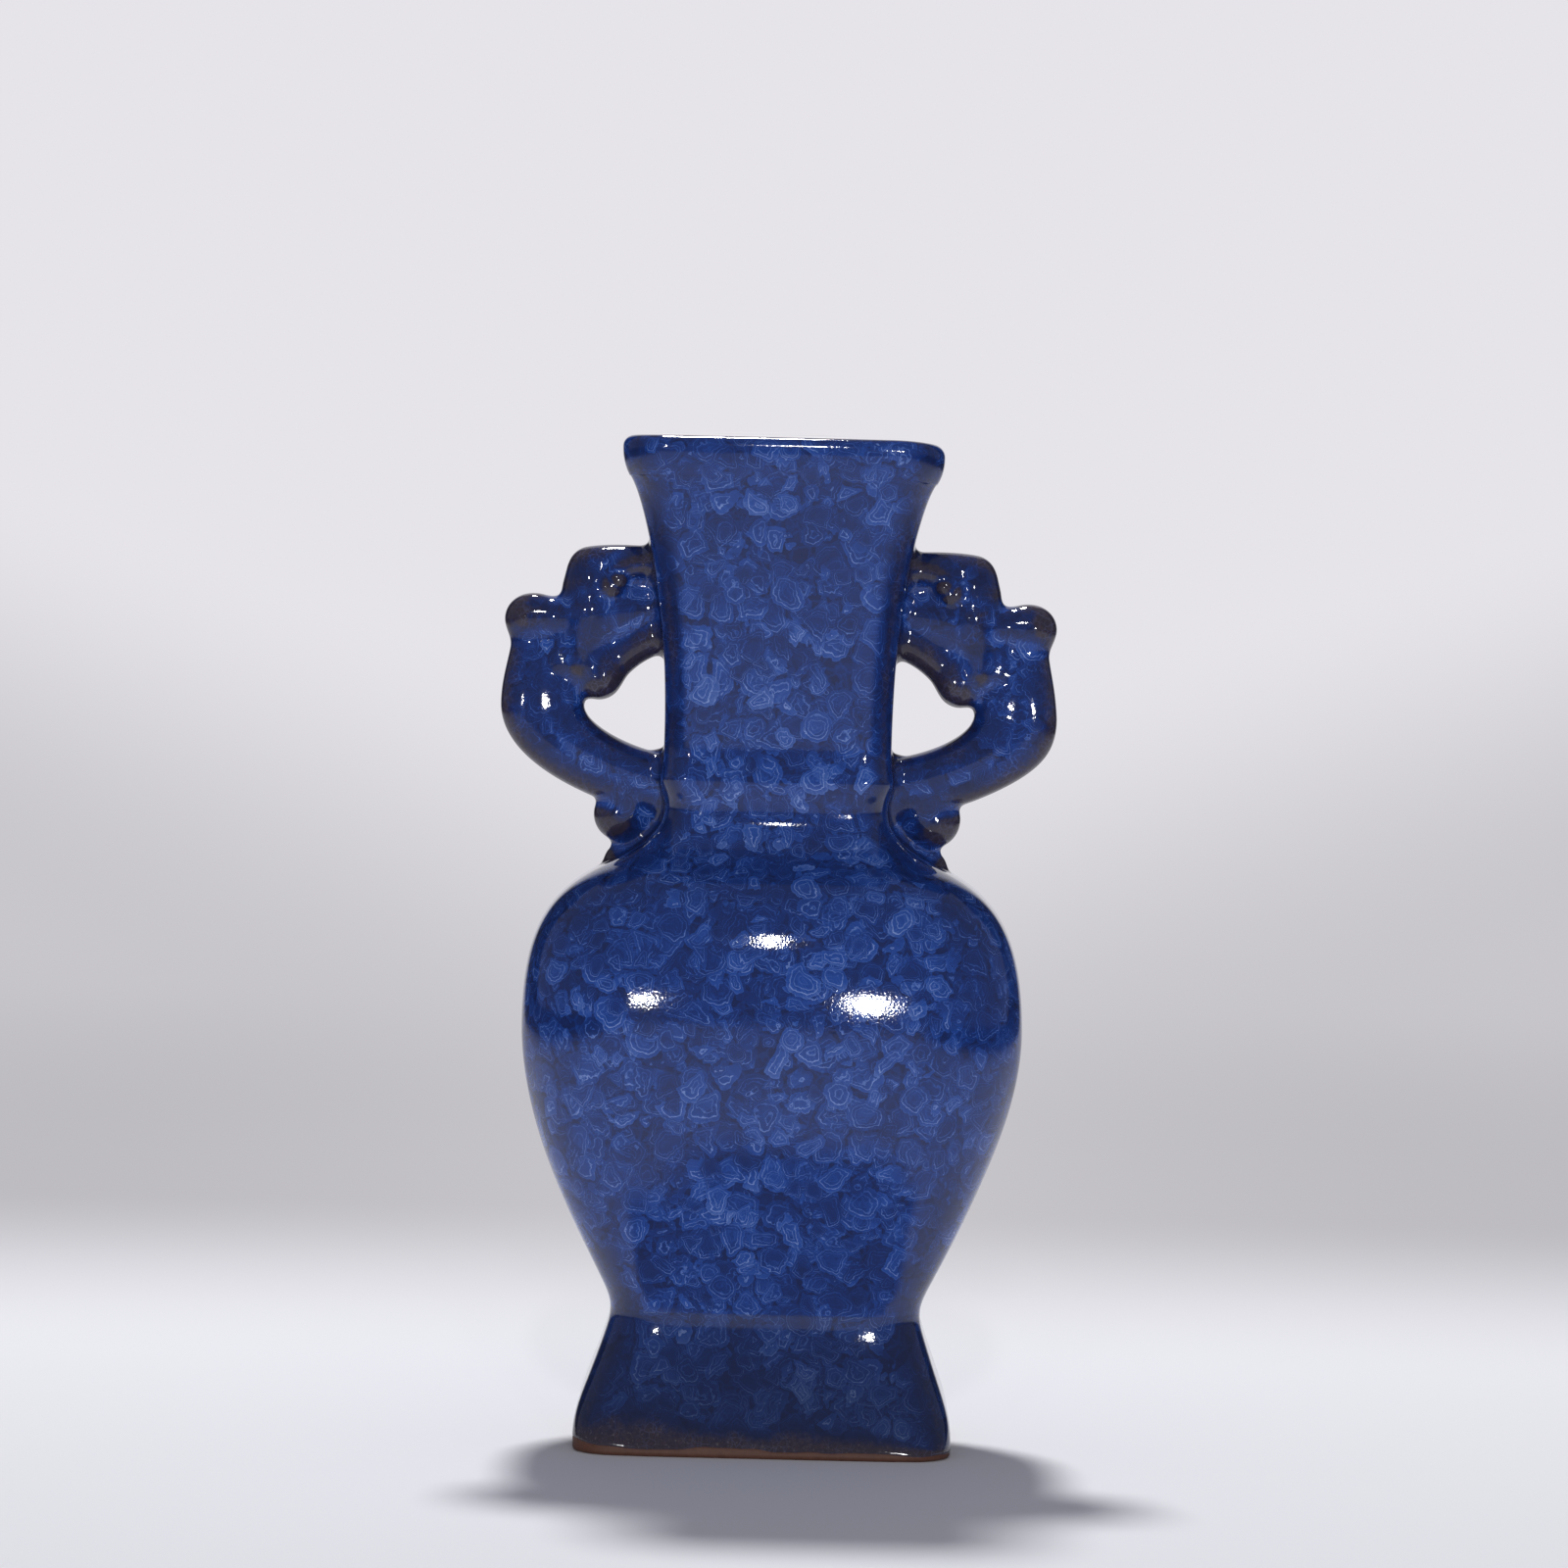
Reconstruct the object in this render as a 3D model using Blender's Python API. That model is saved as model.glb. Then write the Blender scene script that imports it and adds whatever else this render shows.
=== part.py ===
"""Four-sided baluster vase with a splayed foot, a flared mouth and two beast handles.

The vase is built as it is potted: pressed sections for foot, belly and neck, and handles
modelled from rolls of clay, all luted together with slip. Every clay member is its own
object, and each joint keeps a thin gap for the slip.

Metres, +Z up. The vase stands on z = 0 with its broad front facing -Y, and the handles
stand out along +X (right) and -X (left).
"""

import math

import bmesh
import bpy
from mathutils import Matrix, Vector

for stale in list(bpy.data.objects):
    bpy.data.objects.remove(stale, do_unlink=True)

# Clearance left for the slip in every joint
slip_gap = 0.0003

# Rises of the body, one above the other from the table to the rim of the mouth
foot_rise = 0.0320
belly_rise = 0.0635
shoulder_rise = 0.0483
collar_rise = 0.0082
neck_foot_rise = 0.0080
flare_rise = 0.0595
lip_rise = 0.0090

# Half widths along X, each at the middle of the bulging narrow side
foot_half_width = 0.0430
waist_half_width = 0.0343
belly_half_width = 0.0570
neck_half_width = 0.0258
mouth_half_width = 0.0364

# Half depths along Y, each at the middle of the bulging broad side
foot_half_depth = 0.0305
waist_half_depth = 0.0243
belly_half_depth = 0.0405
neck_half_depth = 0.0187
mouth_half_depth = 0.0267

# Sweep of the outline: how far each curve's handle stands off the narrow end of its span
foot_sweep_width = 0.0063
foot_sweep_depth = 0.0013
belly_swell_width = 0.0055
belly_swell_depth = 0.0039
shoulder_sweep_width = 0.0065
shoulder_sweep_depth = 0.0044

# The mouth: how far its curve's handle lies inside the lip, and how the broad faces lean out
mouth_flare_width = 0.0043
mouth_flare_depth = 0.0035
neck_face_lean = 0.0020

# Corner radius of the section, seen from above
foot_corner = 0.0065
waist_corner = 0.0090
belly_corner = 0.0210
shoulder_corner = 0.0080
neck_corner = 0.0060
mouth_corner = 0.0085
least_corner = 0.0015

# How far the middle of a broad side bulges past its corners; a narrow side bulges less
foot_bulge = 0.0036
waist_bulge = 0.0020
belly_bulge = 0.0052
shoulder_bulge = 0.0012
neck_bulge = 0.0006
mouth_bulge = 0.0020
side_bulge_share = 0.6

# Walls, and the roundings of the foot's rim, the floor's edge and the lip
foot_wall = 0.0055
belly_wall = 0.0045
neck_wall_thickness = 0.0042
floor_thickness = 0.0050
foot_rim_round = 0.0010
floor_edge_round = 0.0012
lip_round = 0.0024
lip_proud = 0.0016

# Collar, against the neck's narrowest line: it grows from a crease up to a bead
collar_crease_sink = 0.0009
collar_foot_sink = 0.0004
collar_bead_proud = 0.0008
collar_top_proud = 0.0005
neck_foot_sink = 0.0001
neck_face_dip = 0.0002

# Depth to which a handle's roots run into the neck before they are trimmed to its face
root_depth = 0.0060

# Head of the beast, measured out from the neck's side and up from the shoulder
head_reach = 0.0155
head_rise = 0.0447
head_droop = 0.0015
head_radius = 0.0093
head_tip_radius = 0.0078
head_half_depth = 0.0069

# Crest that lies along the top of the head
crest_past_head = 0.0025
crest_above_head = 0.0099
crest_root_radius = 0.0046
crest_radius = 0.0050
crest_half_depth = 0.0056

# Cheek that stands upright behind the head
cheek_past_head = 0.0031
cheek_swing = 0.0060
cheek_foot_radius = 0.0044
cheek_radius = 0.0051
cheek_half_depth = 0.0067

# Jaw that hangs from the head over the finger loop
jaw_behind_cheek = 0.0034
jaw_below_head = 0.0148
jaw_root_below_head = 0.0040
jaw_bend_reach = 0.0060
jaw_hang = 0.0048
jaw_root_radius = 0.0041
jaw_radius = 0.0046
jaw_half_depth = 0.0055

# Ear that stands out behind the cheek, over the strap
ear_past_strap = 0.0019
ear_below_head = 0.0016
ear_droop = 0.0034
ear_root_radius = 0.0037
ear_radius = 0.0047
ear_half_depth = 0.0053

# Strap: a thin roll along the finger loop, and a fat roll outside it
loop_reach = 0.0185
strap_rise = 0.0237
strap_bend = 0.0080
inner_roll_radius = 0.0042
inner_top_radius = 0.0030
inner_root_radius = 0.0037
inner_half_depth = 0.0052
inner_top_lean = 0.0020
inner_foot_reach = 0.0085
inner_foot_rise = 0.0083
strap_spacing = 0.0075
strap_radius = 0.0071
strap_top_radius = 0.0052
strap_root_radius = 0.0060
strap_half_depth = 0.0066
strap_waist = 0.0012
strap_foot_reach = 0.0120
strap_foot_rise = 0.0056
strap_root_rise = 0.0038

# Scroll at the strap's foot, a turned lump that lies on the shoulder
scroll_reach = 0.0095
scroll_sink = 0.0006
scroll_radius = 0.0062
scroll_half_depth = 0.0053
scroll_groove_depth = 0.0012
scroll_boss_radius = 0.0024
scroll_crown = 0.0003

# Facets: points on a quarter section, and sides and rings of a roll
side_facets = 2
corner_facets = 4
front_facets = 3
roll_facets = 12
roll_rings = 8
end_rings = 4
lip_rings = 6
rim_rings = 2

# Heights of the body's main lines above the table
belly_height = foot_rise + belly_rise
shoulder_height = belly_height + shoulder_rise
collar_top = shoulder_height + collar_rise
neck_height = collar_top + neck_foot_rise
lip_height = neck_height + flare_rise
mouth_height = lip_height + lip_rise

vase = bpy.data.collections.new("crackle_glazed_vase")
cutters = bpy.data.collections.new("cutters")
bpy.context.scene.collection.children.link(vase)
bpy.context.scene.collection.children.link(cutters)


def clay(name, colour, roughness, coat):
    """A fired surface: its colour, its roughness and how much clear glaze lies on it."""
    material = bpy.data.materials.new(name)
    material.use_nodes = True
    shader = material.node_tree.nodes["Principled BSDF"]
    shader.inputs["Base Color"].default_value = (*colour, 1.0)
    shader.inputs["Roughness"].default_value = roughness
    shader.inputs["Metallic"].default_value = 0.0
    shader.inputs["Coat Weight"].default_value = coat
    material.diffuse_color = (*colour, 1.0)
    return material


blue_glaze = clay("cobalt_crackle_glaze", (0.020, 0.070, 0.290), 0.12, 1.0)
brown_glaze = clay("thin_brown_glaze", (0.060, 0.055, 0.110), 0.16, 1.0)
biscuit = clay("russet_biscuit_clay", (0.160, 0.065, 0.040), 0.75, 0.0)


def link(name, mesh, material, collection=vase):
    """Puts a mesh in the model as a named member with its own material, shaded smooth."""
    member = bpy.data.objects.new(name, mesh)
    mesh.materials.clear()
    mesh.materials.append(material)
    mesh.shade_smooth()
    mesh.set_sharp_from_angle(angle=math.radians(40))
    collection.objects.link(member)
    return member


def cubic(a, b, c, d, t):
    """Point at t on the cubic curve with end values a, d and handle values b, c."""
    s = 1 - t
    return s * s * s * a + 3 * s * s * t * b + 3 * s * t * t * c + t * t * t * d


def cubic_slope(a, b, c, d, t):
    """Rate of change at t of the same cubic curve."""
    s = 1 - t
    return 3 * (s * s * (b - a) + 2 * s * t * (c - b) + t * t * (d - c))


def rising(start, end, low, high):
    """Heights of a span whose curve handles lie these shares of its rise from its ends."""
    rise = end - start
    return start, start + low * rise, end - high * rise, end


class Span:
    """One stretch of the body's outline: heights, half widths and half depths as cubics."""

    def __init__(self, heights, widths, depths, corners, bulges, rings, inner_rings):
        self.heights = heights
        self.widths = widths
        self.depths = depths
        self.corners = corners
        self.bulges = bulges
        self.rings = rings
        self.inner_rings = inner_rings

    def station(self, t, inset=0.0, bore=(0.0, 0.0)):
        """Section at t, drawn in by inset measured square to the wall, no closer than bore."""
        rise = max(cubic_slope(*self.heights, t), 1e-6)
        width_lean = math.hypot(1, cubic_slope(*self.widths, t) / rise)
        depth_lean = math.hypot(1, cubic_slope(*self.depths, t) / rise)
        half_width = max(cubic(*self.widths, t) - inset * width_lean, bore[0])
        half_depth = max(cubic(*self.depths, t) - inset * depth_lean, bore[1])
        corner = self.corners[0] + (self.corners[1] - self.corners[0]) * t - inset
        bulge = self.bulges[0] + (self.bulges[1] - self.bulges[0]) * t
        return cubic(*self.heights, t), half_width, half_depth, corner, bulge

    def outer(self, inset=0.0):
        """Sections up the outer face."""
        return [self.station(i / self.rings, inset) for i in range(self.rings + 1)]

    def inner(self, wall, bore=(0.0, 0.0)):
        """Sections down the inner face, a wall's thickness inside the outer one."""
        steps = self.inner_rings
        return [self.station(1 - i / steps, wall, bore) for i in range(steps + 1)]


def section(height, half_width, half_depth, corner, bulge):
    """Points round a rounded rectangle whose four sides swell like a cushion's."""
    flat_width = half_width - bulge * side_bulge_share
    flat_depth = half_depth - bulge
    corner = min(max(corner, least_corner), 0.8 * flat_depth)
    quarter = []
    for i in range(side_facets):
        quarter.append((flat_width, (flat_depth - corner) * i / side_facets))
    for i in range(corner_facets):
        turn = math.pi / 2 * i / corner_facets
        x = flat_width - corner + corner * math.cos(turn)
        quarter.append((x, flat_depth - corner + corner * math.sin(turn)))
    for i in range(front_facets):
        quarter.append(((flat_width - corner) * (1 - i / front_facets), flat_depth))
    # The turned copies of the quarter, in order round the section
    outline = list(quarter)
    outline += [(-x, y) for x, y in [(0.0, flat_depth)] + quarter[:0:-1]]
    outline += [(-x, -y) for x, y in quarter]
    outline += [(x, -y) for x, y in [(0.0, flat_depth)] + quarter[:0:-1]]
    points = []
    for x, y in outline:
        swell_x = 1 + bulge * side_bulge_share / flat_width * (1 - (y / flat_depth) ** 2)
        swell_y = 1 + bulge / flat_depth * (1 - (x / flat_width) ** 2)
        points.append(Vector((x * swell_x, y * swell_y, height)))
    return points


def loft(name, stations, material, hollow, collection=vase):
    """Skins a run of sections; a hollow member joins its last section back to its first."""
    mesh = bpy.data.meshes.new(name)
    build = bmesh.new()
    rings = [[build.verts.new(point) for point in section(*s)] for s in stations]
    pairs = list(zip(rings, rings[1:]))
    if hollow:
        pairs.append((rings[-1], rings[0]))
    else:
        build.faces.new(rings[0])
        build.faces.new(rings[-1])
    for lower, upper in pairs:
        for i in range(len(lower)):
            j = (i + 1) % len(lower)
            build.faces.new((lower[i], lower[j], upper[j], upper[i]))
    bmesh.ops.recalc_face_normals(build, faces=build.faces)
    build.to_mesh(mesh)
    build.free()
    return link(name, mesh, material, collection)


# The body's outline, from the foot up. Each joint's slip gap lies above its line.
foot_span = Span(
    heights=rising(foot_rim_round, foot_rise, low=0.33, high=0.65),
    widths=(foot_half_width, foot_half_width, waist_half_width + foot_sweep_width, waist_half_width),
    depths=(foot_half_depth, foot_half_depth, waist_half_depth + foot_sweep_depth, waist_half_depth),
    corners=(foot_corner, waist_corner),
    bulges=(foot_bulge, waist_bulge),
    rings=7,
    inner_rings=4,
)
belly_start = foot_rise + slip_gap
lower_span = Span(
    heights=rising(belly_start, belly_height, low=0.20, high=0.36),
    widths=(waist_half_width, waist_half_width + belly_swell_width, belly_half_width, belly_half_width),
    depths=(waist_half_depth, waist_half_depth + belly_swell_depth, belly_half_depth, belly_half_depth),
    corners=(waist_corner, belly_corner),
    bulges=(waist_bulge, belly_bulge),
    rings=9,
    inner_rings=6,
)
crease_width = neck_half_width - collar_crease_sink
crease_depth = neck_half_depth - collar_crease_sink
upper_span = Span(
    heights=rising(belly_height + slip_gap, shoulder_height, low=0.88, high=0.36),
    widths=(belly_half_width, belly_half_width, crease_width + shoulder_sweep_width, crease_width),
    depths=(belly_half_depth, belly_half_depth, crease_depth + shoulder_sweep_depth, crease_depth),
    corners=(belly_corner, shoulder_corner),
    bulges=(belly_bulge, shoulder_bulge),
    rings=11,
    inner_rings=9,
)


def proud(half_size):
    """Half sizes up the collar, which leans out from the crease to its bead."""
    crease = half_size - collar_crease_sink
    foot = half_size - collar_foot_sink
    return crease, foot, half_size + collar_bead_proud, half_size + collar_top_proud


collar_span = Span(
    heights=rising(shoulder_height + slip_gap, collar_top, low=0.35, high=0.25),
    widths=proud(neck_half_width),
    depths=proud(neck_half_depth),
    corners=(shoulder_corner, neck_corner),
    bulges=(shoulder_bulge, neck_bulge),
    rings=5,
    inner_rings=1,
)


def settling(half_size, dip=0.0):
    """Half sizes up the foot of the neck, which settles to its narrowest line."""
    return half_size + collar_top_proud, half_size - neck_foot_sink, half_size - dip, half_size


neck_foot_span = Span(
    heights=rising(collar_top + slip_gap, neck_height, low=0.40, high=0.40),
    widths=settling(neck_half_width),
    depths=settling(neck_half_depth, neck_face_dip),
    corners=(neck_corner, neck_corner),
    bulges=(neck_bulge, neck_bulge),
    rings=3,
    inner_rings=1,
)
flare_width = mouth_half_width - lip_proud
flare_depth = mouth_half_depth - lip_proud
neck_lean_depth = neck_half_depth + neck_face_lean
flare_span = Span(
    heights=rising(neck_height, lip_height, low=0.54, high=0.04),
    widths=(neck_half_width, neck_half_width, mouth_half_width - mouth_flare_width, flare_width),
    depths=(neck_half_depth, neck_lean_depth, mouth_half_depth - mouth_flare_depth, flare_depth),
    corners=(neck_corner, mouth_corner),
    bulges=(neck_bulge, mouth_bulge),
    rings=9,
    inner_rings=6,
)
neck_bore = (neck_half_width - neck_wall_thickness, neck_half_depth - neck_wall_thickness)


def bored(height):
    """Section of the neck's bore at a height."""
    return height, *neck_bore, neck_corner - neck_wall_thickness, neck_bulge


def foot_ring():
    """Splayed hollow foot; its rim is rounded under and stays bare clay."""
    rim = []
    for i in range(rim_rings):
        turn = math.pi / 2 * i / rim_rings
        back = foot_rim_round * (1 - math.sin(turn))
        height = foot_rim_round * (1 - math.cos(turn))
        rim.append((height, foot_half_width - back, foot_half_depth - back, foot_corner, foot_bulge))
    inside = foot_span.inner(foot_wall)
    inside.append((0.0, *inside[-1][1:]))
    return loft("foot_ring", rim + foot_span.outer() + inside, blue_glaze, hollow=True)


def vessel_floor():
    """Slab that closes the belly: it seats on the foot's top edge inside the belly's wall."""
    _, half_width, half_depth, corner, bulge = lower_span.station(0.0, belly_wall + slip_gap)
    top = belly_start + floor_thickness
    stations = [
        (belly_start, half_width, half_depth, corner, bulge),
        (top - floor_edge_round, half_width, half_depth, corner, bulge),
        (top, half_width - floor_edge_round, half_depth - floor_edge_round, corner, bulge),
    ]
    return loft("vessel_floor", stations, biscuit, hollow=False)


def belly_lower():
    """Lower pressed section of the belly, from the waist to the widest line."""
    stations = lower_span.outer() + lower_span.inner(belly_wall)
    return loft("belly_lower", stations, blue_glaze, hollow=True)


def belly_upper():
    """Upper pressed section: the shoulder closes in to the bore of the neck."""
    stations = upper_span.outer() + upper_span.inner(belly_wall, neck_bore)
    return loft("belly_upper", stations, blue_glaze, hollow=True)


def neck_collar():
    """Raised band round the joint of shoulder and neck."""
    outside = collar_span.outer()
    inside = [bored(collar_top), bored(outside[0][0])]
    return loft("neck_collar", outside + inside, blue_glaze, hollow=True)


def neck_wall():
    """Four-sided neck that flares to the lip."""
    outside = neck_foot_span.outer() + flare_span.outer()[1:]
    inside = flare_span.inner(neck_wall_thickness, neck_bore)
    inside.append(bored(outside[0][0]))
    return loft("neck_wall", outside + inside, blue_glaze, hollow=True)


def mouth_lip():
    """Thickened strip round the mouth with a half-round top."""
    foot = lip_height + slip_gap
    stations = [
        (foot, flare_width, flare_depth, mouth_corner, mouth_bulge),
        (foot + lip_round, mouth_half_width, mouth_half_depth, mouth_corner, mouth_bulge),
    ]
    for i in range(lip_rings + 1):
        turn = math.pi * i / lip_rings
        inward = lip_round * (1 - math.cos(turn))
        height = mouth_height - lip_round * (1 - math.sin(turn))
        half_sizes = (mouth_half_width - inward, mouth_half_depth - inward)
        stations.append((height, *half_sizes, mouth_corner - inward, mouth_bulge))
    stations.append((foot, *flare_span.station(1.0, neck_wall_thickness, neck_bore)[1:]))
    return loft("mouth_lip", stations, blue_glaze, hollow=True)


def body_envelope():
    """The body's outer face grown by the slip gap, which trims the roots of the handles."""
    stations = lower_span.outer(-slip_gap)
    for span in (upper_span, collar_span, neck_foot_span, flare_span):
        stations += span.outer(-slip_gap)[1:]
    cutter = loft("body_envelope", stations, blue_glaze, hollow=False, collection=cutters)
    cutter.hide_render = True
    cutter.display_type = "WIRE"
    return cutter


def out_and_up(reach, rise):
    """Point in the handle's plane, out from the neck's side and up from the shoulder."""
    return Vector((neck_half_width + reach, 0.0, shoulder_height + rise))


def stretch(start, first_handle, last_handle, end, radius, end_radius):
    """Rings (place, radius) along one cubic stretch of a roll, up to but without its end."""
    rings = []
    for i in range(roll_rings):
        t = i / roll_rings
        ease = t * t * (3 - 2 * t)
        place = cubic(start, first_handle, last_handle, end, t)
        rings.append((place, radius + (end_radius - radius) * ease))
    return rings


def round_end(before, place, radius):
    """Rings that close a roll with a half ball, which looks away from the place before it."""
    along = (place - before).normalized()
    rings = []
    for i in range(end_rings + 1):
        turn = math.pi / 2 * i / end_rings
        size = max(math.cos(turn), 0.08)
        rings.append((place + along * radius * math.sin(turn), radius * size))
    return rings


def roll_mesh(name, rings, half_depth, grow):
    """Clay roll: a round tube along its rings, squeezed to its depth, grown for a cutter."""
    thickest = max(radius for _, radius in rings)
    data = bpy.data.curves.new(name, "CURVE")
    data.dimensions = "3D"
    data.bevel_depth = 1.0
    data.bevel_resolution = (roll_facets - 4) // 2
    data.use_fill_caps = True
    spline = data.splines.new("POLY")
    spline.points.add(len(rings) - 1)
    for point, (place, radius) in zip(spline.points, rings):
        point.co = (*place, 1.0)
        point.radius = radius + grow
    guide = bpy.data.objects.new(name, data)
    bpy.context.scene.collection.objects.link(guide)
    settled = guide.evaluated_get(bpy.context.evaluated_depsgraph_get())
    mesh = bpy.data.meshes.new_from_object(settled)
    bpy.data.objects.remove(guide, do_unlink=True)
    build = bmesh.new()
    build.from_mesh(mesh)
    bmesh.ops.remove_doubles(build, verts=build.verts, dist=0.00001)
    squeeze = (half_depth + grow) / (thickest + grow)
    bmesh.ops.scale(build, vec=(1, squeeze, 1), verts=build.verts)
    bmesh.ops.recalc_face_normals(build, faces=build.faces)
    build.to_mesh(mesh)
    build.free()
    return mesh


def scroll_mesh(name, grow):
    """Turned lump with a boss, a groove and a round rim on both faces."""
    radius = scroll_radius + grow
    depth = scroll_half_depth + grow
    rim_depth = depth - scroll_crown
    rim = 0.5 * (scroll_radius - scroll_boss_radius)
    face = [
        (0.0, depth),
        (0.7 * scroll_boss_radius, rim_depth),
        (1.15 * scroll_boss_radius, depth - scroll_groove_depth),
        (scroll_radius - rim, rim_depth),
    ]
    for i in range(1, end_rings):
        turn = math.pi / 2 * i / end_rings
        face.append((radius - rim * (1 - math.sin(turn)), rim_depth * math.cos(turn)))
    outline = face + [(radius, 0.0)] + [(out, -y) for out, y in face[::-1]]
    mesh = bpy.data.meshes.new(name)
    build = bmesh.new()
    line = [build.verts.new((out, y, 0.0)) for out, y in outline]
    edges = [build.edges.new(pair) for pair in zip(line, line[1:])]
    bmesh.ops.spin(
        build,
        geom=line + edges,
        axis=(0, 1, 0),
        cent=(0, 0, 0),
        angle=math.tau,
        steps=2 * roll_facets,
    )
    bmesh.ops.remove_doubles(build, verts=build.verts, dist=0.00001)
    bmesh.ops.translate(build, verts=build.verts, vec=out_and_up(scroll_reach, -scroll_sink))
    bmesh.ops.recalc_face_normals(build, faces=build.faces)
    build.to_mesh(mesh)
    build.free()
    return mesh


def straight_roll(start, end, radius, end_radius):
    """Rings of a straight roll with a round end."""
    middle = (start + end) / 2
    return stretch(start, middle, middle, end, radius, end_radius) + round_end(start, end, end_radius)


def head_rings():
    """The head leaves the neck level and sinks a little to its round tip."""
    start = out_and_up(-root_depth, head_rise + head_droop)
    brow = out_and_up(0.4 * head_reach, head_rise + head_droop)
    nape = out_and_up(0.8 * head_reach, head_rise + 0.5 * head_droop)
    tip = out_and_up(head_reach, head_rise)
    rings = stretch(start, brow, nape, tip, head_radius, head_tip_radius)
    return rings + round_end(nape, tip, head_tip_radius)


crest_reach = head_reach + crest_past_head
crest_rise = head_rise + crest_above_head
cheek_reach = head_reach + cheek_past_head
jaw_reach = cheek_reach - jaw_behind_cheek
jaw_rise = head_rise - jaw_below_head
inner_line = loop_reach + inner_roll_radius
strap_line = inner_line + strap_spacing
ear_reach = strap_line + ear_past_strap
ear_rise = head_rise - ear_below_head


def crest_rings():
    """The crest lies level on top of the head and ends in a round lump."""
    start = out_and_up(-root_depth, crest_rise)
    return straight_roll(start, out_and_up(crest_reach, crest_rise), crest_root_radius, crest_radius)


def cheek_rings():
    """The cheek climbs from the jaw to just under the crest."""
    foot = out_and_up(jaw_reach, jaw_rise)
    low = out_and_up(cheek_reach, jaw_rise + cheek_swing)
    top = out_and_up(cheek_reach, crest_rise - cheek_radius)
    rings = stretch(foot, low, (low + top) / 2, top, cheek_foot_radius, cheek_radius)
    return rings + round_end(low, top, cheek_radius)


def jaw_rings():
    """The jaw leaves the neck under the head and hangs down to its round lump."""
    start = out_and_up(-root_depth, head_rise - jaw_root_below_head)
    bend = out_and_up(jaw_bend_reach, head_rise - jaw_root_below_head)
    drop = out_and_up(jaw_reach - 0.7 * jaw_hang, jaw_rise + jaw_hang)
    end = out_and_up(jaw_reach, jaw_rise)
    rings = stretch(start, bend, drop, end, jaw_root_radius, jaw_radius)
    return rings + round_end(drop, end, jaw_radius)


def ear_rings():
    """The ear starts inside the cheek and lies down over the strap's top."""
    start = out_and_up(cheek_reach, ear_rise + ear_droop)
    end = out_and_up(ear_reach, ear_rise)
    out = end.x - start.x
    first = Vector((start.x + 0.4 * out, 0.0, end.z + 0.5 * ear_droop))
    last = Vector((start.x + 0.7 * out, 0.0, end.z))
    rings = stretch(start, first, last, end, ear_root_radius, ear_radius)
    return rings + round_end(last, end, ear_radius)


def strap_rings():
    """The fat outer roll: down from inside the ear, round the bend and into the neck."""
    top = out_and_up(strap_line, ear_rise)
    widest = out_and_up(strap_line, strap_rise)
    upper = top.z - widest.z
    narrow = Vector((top.x - strap_waist, 0.0, widest.z + 0.67 * upper))
    full = Vector((top.x, 0.0, widest.z + 0.33 * upper))
    bend = out_and_up(strap_line, strap_rise - strap_bend)
    foot = out_and_up(strap_foot_reach, strap_foot_rise)
    root = out_and_up(-root_depth, strap_root_rise)
    rings = stretch(top, narrow, full, widest, strap_top_radius, strap_radius)
    rings += stretch(widest, bend, foot, root, strap_radius, strap_root_radius)
    return rings + round_end(foot, root, strap_root_radius)


def inner_rings():
    """The thin roll that edges the finger loop, from inside the ear to the neck."""
    top = out_and_up(inner_line + inner_top_lean, ear_rise)
    side = out_and_up(inner_line, strap_rise)
    upper = top.z - side.z
    lean = Vector((top.x - 0.6 * inner_top_lean, 0.0, side.z + 0.67 * upper))
    plumb = Vector((side.x, 0.0, side.z + 0.33 * upper))
    bend = out_and_up(inner_line, strap_rise - strap_bend)
    foot = out_and_up(inner_foot_reach, inner_foot_rise)
    root = out_and_up(-root_depth, inner_foot_rise)
    rings = stretch(top, lean, plumb, side, inner_top_radius, inner_roll_radius)
    rings += stretch(side, bend, foot, root, inner_roll_radius, inner_root_radius)
    return rings + round_end(foot, root, inner_root_radius)


def largest_body(mesh):
    """Keeps the largest joined part of a trimmed roll and drops crumbs inside its neighbours."""
    build = bmesh.new()
    build.from_mesh(mesh)
    left = set(build.verts)
    groups = []
    while left:
        queue = [left.pop()]
        group = set(queue)
        while queue:
            for edge in queue.pop().link_edges:
                for vert in edge.verts:
                    if vert in left:
                        left.discard(vert)
                        group.add(vert)
                        queue.append(vert)
        groups.append(group)
    groups.sort(key=len)
    crumbs = [vert for group in groups[:-1] for vert in group]
    bmesh.ops.delete(build, geom=crumbs, context="VERTS")
    build.to_mesh(mesh)
    build.free()


def trim(member, others):
    """Cuts a member by its grown neighbours and keeps the finished mesh."""
    for other in others:
        cut = member.modifiers.new(other.name, "BOOLEAN")
        cut.operation = "DIFFERENCE"
        cut.solver = "EXACT"
        cut.object = other
    settled = member.evaluated_get(bpy.context.evaluated_depsgraph_get())
    mesh = bpy.data.meshes.new_from_object(settled)
    member.modifiers.clear()
    largest_body(mesh)
    mesh.shade_smooth()
    mesh.set_sharp_from_angle(angle=math.radians(40))
    member.data = mesh


def add_member(part, make, material, earlier):
    """Makes one roll of the right handle, trims it by what is there and adds its cutter."""
    member = link("right_" + part, make(part, 0.0), material)
    trim(member, earlier)
    cutter = link("grown_" + part, make(part, slip_gap), material, cutters)
    cutter.hide_render = True
    cutter.display_type = "WIRE"
    earlier.append(cutter)


def add_roll(part, rings, half_depth, material, earlier):
    """Adds a member of the handle that is one roll of clay."""

    def make(name, grow):
        return roll_mesh(name, rings, half_depth, grow)

    add_member(part, make, material, earlier)


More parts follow.
